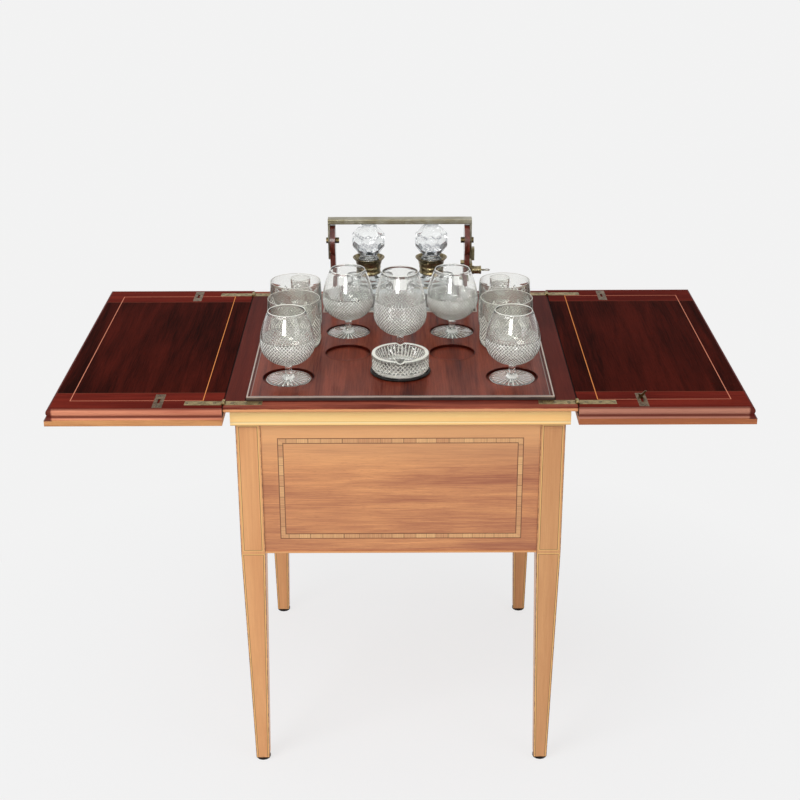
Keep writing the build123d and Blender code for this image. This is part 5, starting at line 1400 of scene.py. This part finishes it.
class DRINKS_OT_decanters(Operator):
    """Makes the two square decanters with their collars and ball stoppers"""
    bl_idname = "drinks_table.decanters"
    bl_label = "Decanters"

    def execute(self, context):
        """Builds each decanter, its collar and its stopper."""
        colours = context.scene.table_colours
        depth = context.scene.table_sizes.cut_depth * 2
        collars, stoppers = bmesh.new(), bmesh.new()
        neck_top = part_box("left_decanter")[1].z
        for side in SIDES:
            place = middle(f"{side}_decanter")
            body = decanter_mesh(depth)
            move_all(body, place)
            keep(body, f"{side}_cut_decanter", "tray", thick_glass(), (f"{side}_decanter",))
            ring = collar_mesh()
            move_all(ring, (place.x, place.y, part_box("decanter_collars")[0].z))
            join(collars, ring)
            ball = stopper_mesh()
            move_all(ball, (place.x, place.y, neck_top))
            join(stoppers, ball)
        keep(collars, "turned_collars", "tray",
             metal("collar_plate", colours.collar, colours.collar_tarnish, 0.5, 8.0 * MM), ("decanter_collars",))
        # Painted shade on the lower facets and a painted highlight on the middle ones; the pale blue-white is the
        # colour of the painted highlights.
        shade_facets(stoppers, neck_top + 34.0 * MM, 31.0 * MM)
        keep(stoppers, "ball_stoppers", "tray",
             clear_glass("stopper_glass", colours.glass, colours.stopper_shade, tint(244, 250, 255)), ("stoppers",))
        return {"FINISHED"}


class DRINKS_OT_glasses(Operator):
    """Makes the balloon glasses, tumblers and liqueur glasses"""
    bl_idname = "drinks_table.glasses"
    bl_label = "Glasses"

    def execute(self, context):
        """Builds every loose glass on its own body."""
        sizes = context.scene.table_sizes
        depth = sizes.cut_depth
        self.stand("tall_balloon", balloon_mesh(150.0, 74.0, 95.0, sizes.balloon_cuts, depth))
        for side in SIDES:
            for row in ("front", "middle"):
                self.stand(f"{row}_{side}_balloon", balloon_mesh(120.0, 64.0, 69.0, sizes.balloon_cuts, depth))
            for row in ("front", "back"):
                self.stand(f"{row}_{side}_tumbler", tumbler_mesh(sizes.tumbler_cuts, depth))
            self.stand(f"back_{side}_liqueur_glass", liqueur_mesh(depth))
        return {"FINISHED"}

    def stand(self, node, bm):
        """Stands a glass in the place of a plain one."""
        move_all(bm, middle(node))
        keep(bm, f"cut_{node}", node.replace("_glass", ""), tumbler_glass() if "tumbler" in node else cut_glass(), (node,))


class DRINKS_OT_ashtray(Operator):
    """Makes the cut ashtray and its plated base"""
    bl_idname = "drinks_table.ashtray"
    bl_label = "Ashtray"

    def execute(self, context):
        """Builds the bowl with four rests and the turned base."""
        colours = context.scene.table_colours
        columns = 80
        step = 2 * math.pi * 47.5 / columns
        under = [(0.0, 0.5), (20.0, 0.4), (36.0, 0.2), (42.0, 0.0), (44.0, 0.0)]
        heel = [(45.4, 1.6), (46.6, 3.4)]
        side = split_line((47.3, 5.0), (47.5, 27.0), round(22.0 / step))
        rim = [(47.5, 28.6), (47.0, 29.6), (46.0, 30.0), (43.6, 30.0), (42.0, 29.8), (41.2, 29.0)]
        slope = split_line((41.2, 29.0), (31.5, 10.6), 12)
        floor = [(29.0, 9.3), (24.0, 9.0), (16.0, 9.0), (8.0, 9.0), (0.0, 9.0)]
        bm = bmesh.new()
        row = spin_profile(bm, scaled(under + heel + [(47.3, 5.0)] + side + rim + slope + floor), columns)
        side_rows = range(len(under) + len(heel) + 1, len(under) + len(heel) + len(side))
        first = len(under) + len(heel) + 1 + len(side) + len(rim)
        slope_rows = range(first, first + len(slope) - 1)
        cut_rows = list(side_rows) + list(slope_rows)
        # The cuts are marked for painted glints and painted shade; the rim and heel get painted highlights.
        cut_diamonds(bm, row, side_rows, columns, context.scene.table_sizes.cut_depth * 1.6)
        cut_flutes(bm, row, slope_rows, columns, context.scene.table_sizes.cut_depth * 2.4)
        rim_start = len(under) + len(heel) + 1 + len(side)
        brighten_rim(bm, row, range(rim_start + 1, rim_start + 5), 0.9)
        brighten_rim(bm, row, range(len(under), len(under) + len(heel) + 1), 0.45)
        for vert in bm.verts:
            if rim_start - 2 <= vert[row] < first + 3:
                off = min(abs(vert.co.x), abs(vert.co.y))
                drop = math.sqrt(max(0.0, (4.6 * MM) ** 2 - off ** 2))
                vert.co.z = min(vert.co.z, 30.0 * MM - drop)
        radial_cut(bm, row, range(1, len(under) - 1), columns, 30, 1.2 * MM, 3.0 * MM, 43.0 * MM)
        smooth_faces(bm, cut_rows)
        move_all(bm, middle("ashtray_bowl"))
        keep(bm, "cut_ashtray", "ashtray",
             clear_glass("ashtray_glass", colours.glass, colours.ashtray_face, colours.warm_line), ("ashtray_bowl",))
        base = bmesh.new()
        turned = [(0.0, 0.0), (46.0, 0.0), (48.6, 0.3), (49.8, 1.2), (50.0, 2.2), (49.6, 3.2), (48.6, 3.8), (47.0, 4.0),
                  (45.5, 3.9), (0.0, 3.9)]
        spin_profile(base, scaled(turned), 128)
        smooth_faces(base)
        move_all(base, middle("ashtray_base"))
        keep(base, "turned_base", "ashtray",
             metal("dark_plate", tint(58, 54, 52), tint(24, 22, 22), 0.5, 10.0 * MM), ("ashtray_base",))
        return {"FINISHED"}


class DRINKS_OT_stage(Operator):
    """Sets the camera, lamps, floor and backdrop"""
    bl_idname = "drinks_table.stage"
    bl_label = "Stage"

    def execute(self, context):
        """Builds the stage round the table."""
        settings = context.scene.table_stage
        context.scene.view_settings.view_transform = "Standard"
        self.camera(settings)
        self.floor(settings)
        self.sky(settings)
        self.lamp("key_lamp", (-1.7, -1.9, 2.9), (0.0, 0.0, 0.55), 1.5, settings.key)
        self.lamp("fill_lamp", (2.4, -2.2, 1.9), (0.0, 0.0, 0.5), 1.6, settings.fill)
        strip = self.lamp("window_lamp", (-0.68, -2.95, 1.75), (0.0, 0.0, 0.8), 0.95, settings.window)
        strip.data.shape = "RECTANGLE"
        strip.data.size_y = 1.0
        strip.visible_diffuse = False
        return {"FINISHED"}

    def camera(self, settings):
        """Camera at the photograph's angle."""
        data = bpy.data.cameras.new("camera")
        data.lens = settings.lens
        data.sensor_width = 36.0
        camera = bpy.data.objects.new("camera", data)
        bpy.context.scene.collection.objects.link(camera)
        camera.location = (0.0, -settings.distance, settings.height)
        turn = Matrix.Rotation(0.0003, 4, "Z") @ Matrix.Rotation(settings.tilt, 4, "X")
        turn = turn @ Matrix.Rotation(settings.roll, 4, "Z")
        camera.rotation_euler = turn.to_euler()
        bpy.context.scene.camera = camera

    def floor(self, settings):
        """Pale floor that keeps the table's shadow and fades into the backdrop."""
        material = bpy.data.materials.new("pale_floor")
        material.use_nodes = True
        tree = material.node_tree
        tree.nodes.clear()
        where = put(tree, "TexCoord").outputs["Object"]
        away = put(tree, "VectorMath", {0: where}, operation="LENGTH").outputs["Value"]
        fade = fit_range(tree, away, 0.3, 1.0, settings.floor_glow)
        plain = put(tree, "BsdfDiffuse", {"Color": settings.floor})
        path = put(tree, "LightPath").outputs
        seen = calc(tree, "MAXIMUM", path["Is Camera Ray"],
                    calc(tree, "MAXIMUM", path["Is Glossy Ray"], path["Is Transmission Ray"]))
        glow = put(tree, "Emission", {"Color": (1, 1, 1, 1), "Strength": settings.backdrop})
        mixed = put(tree, "MixShader", {0: calc(tree, "MULTIPLY", fade, seen), 1: plain.outputs[0],
                                        2: glow.outputs[0]})
        put(tree, "OutputMaterial", {"Surface": mixed.outputs[0]})
        bm = bmesh.new()
        bmesh.ops.create_grid(bm, x_segments=1, y_segments=1, size=30.0)
        mesh = bpy.data.meshes.new("floor")
        bm.to_mesh(mesh)
        bm.free()
        mesh.materials.append(material)
        plane = bpy.data.objects.new("floor", mesh)
        bpy.context.scene.collection.objects.link(plane)

    def sky(self, settings):
        """Plain pale world, brighter to the camera than to the table."""
        world = bpy.data.worlds.new("studio")
        bpy.context.scene.world = world
        world.use_nodes = True
        tree = world.node_tree
        tree.nodes.clear()
        path = put(tree, "LightPath").outputs
        seen = calc(tree, "MAXIMUM", path["Is Camera Ray"],
                    calc(tree, "MAXIMUM", path["Is Glossy Ray"], path["Is Transmission Ray"]))
        light = put(tree, "Background", {"Color": (1, 1, 1, 1), "Strength": settings.sky})
        backdrop = put(tree, "Background", {"Color": (1, 1, 1, 1), "Strength": settings.backdrop})
        mixed = put(tree, "MixShader", {0: seen, 1: light.outputs[0], 2: backdrop.outputs[0]})
        put(tree, "OutputWorld", {"Surface": mixed.outputs[0]})

    def lamp(self, name, place, aim, size, power):
        """Soft square lamp aimed at a point."""
        data = bpy.data.lights.new(name, "AREA")
        data.size = size
        data.energy = power
        lamp = bpy.data.objects.new(name, data)
        bpy.context.scene.collection.objects.link(lamp)
        lamp.location = place
        lamp.rotation_euler = (Vector(aim) - Vector(place)).to_track_quat("-Z", "Y").to_euler()
        return lamp


class DRINKS_PT_table(Panel):
    """Steps that dress the drinks table"""
    bl_idname = "DRINKS_PT_table"
    bl_label = "Drinks Table"
    bl_space_type = "VIEW_3D"
    bl_region_type = "UI"
    bl_category = "Drinks Table"

    def draw(self, context):
        """Lists the steps and their settings."""
        for step in STEPS:
            self.layout.operator(step.bl_idname)
        for group in ("table_sizes", "table_colours", "table_stage"):
            settings = getattr(context.scene, group)
            box = self.layout.box()
            for name in settings.bl_rna.properties.keys():
                if name not in ("rna_type", "name"):
                    box.prop(settings, name)


STEPS = (DRINKS_OT_effects, DRINKS_OT_carcase, DRINKS_OT_leaves, DRINKS_OT_hinges, DRINKS_OT_tray, DRINKS_OT_lift,
         DRINKS_OT_tantalus, DRINKS_OT_decanters, DRINKS_OT_glasses, DRINKS_OT_ashtray, DRINKS_OT_stage)
CLASSES = (TableSizes, TableColours, StageSettings) + STEPS + (DRINKS_PT_table,)


def register():
    """Registers the settings, steps and panel."""
    for kind in CLASSES:
        bpy.utils.register_class(kind)
    bpy.types.Scene.table_sizes = PointerProperty(type=TableSizes)
    bpy.types.Scene.table_colours = PointerProperty(type=TableColours)
    bpy.types.Scene.table_stage = PointerProperty(type=StageSettings)


def unregister():
    """Removes the settings, steps and panel."""
    for name in ("table_sizes", "table_colours", "table_stage"):
        delattr(bpy.types.Scene, name)
    for kind in reversed(CLASSES):
        bpy.utils.unregister_class(kind)


def main():
    """Dresses the table."""
    register()
    for step in STEPS:
        group, name = step.bl_idname.split(".")
        getattr(getattr(bpy.ops, group), name)()


if __name__ == "__main__":
    main()
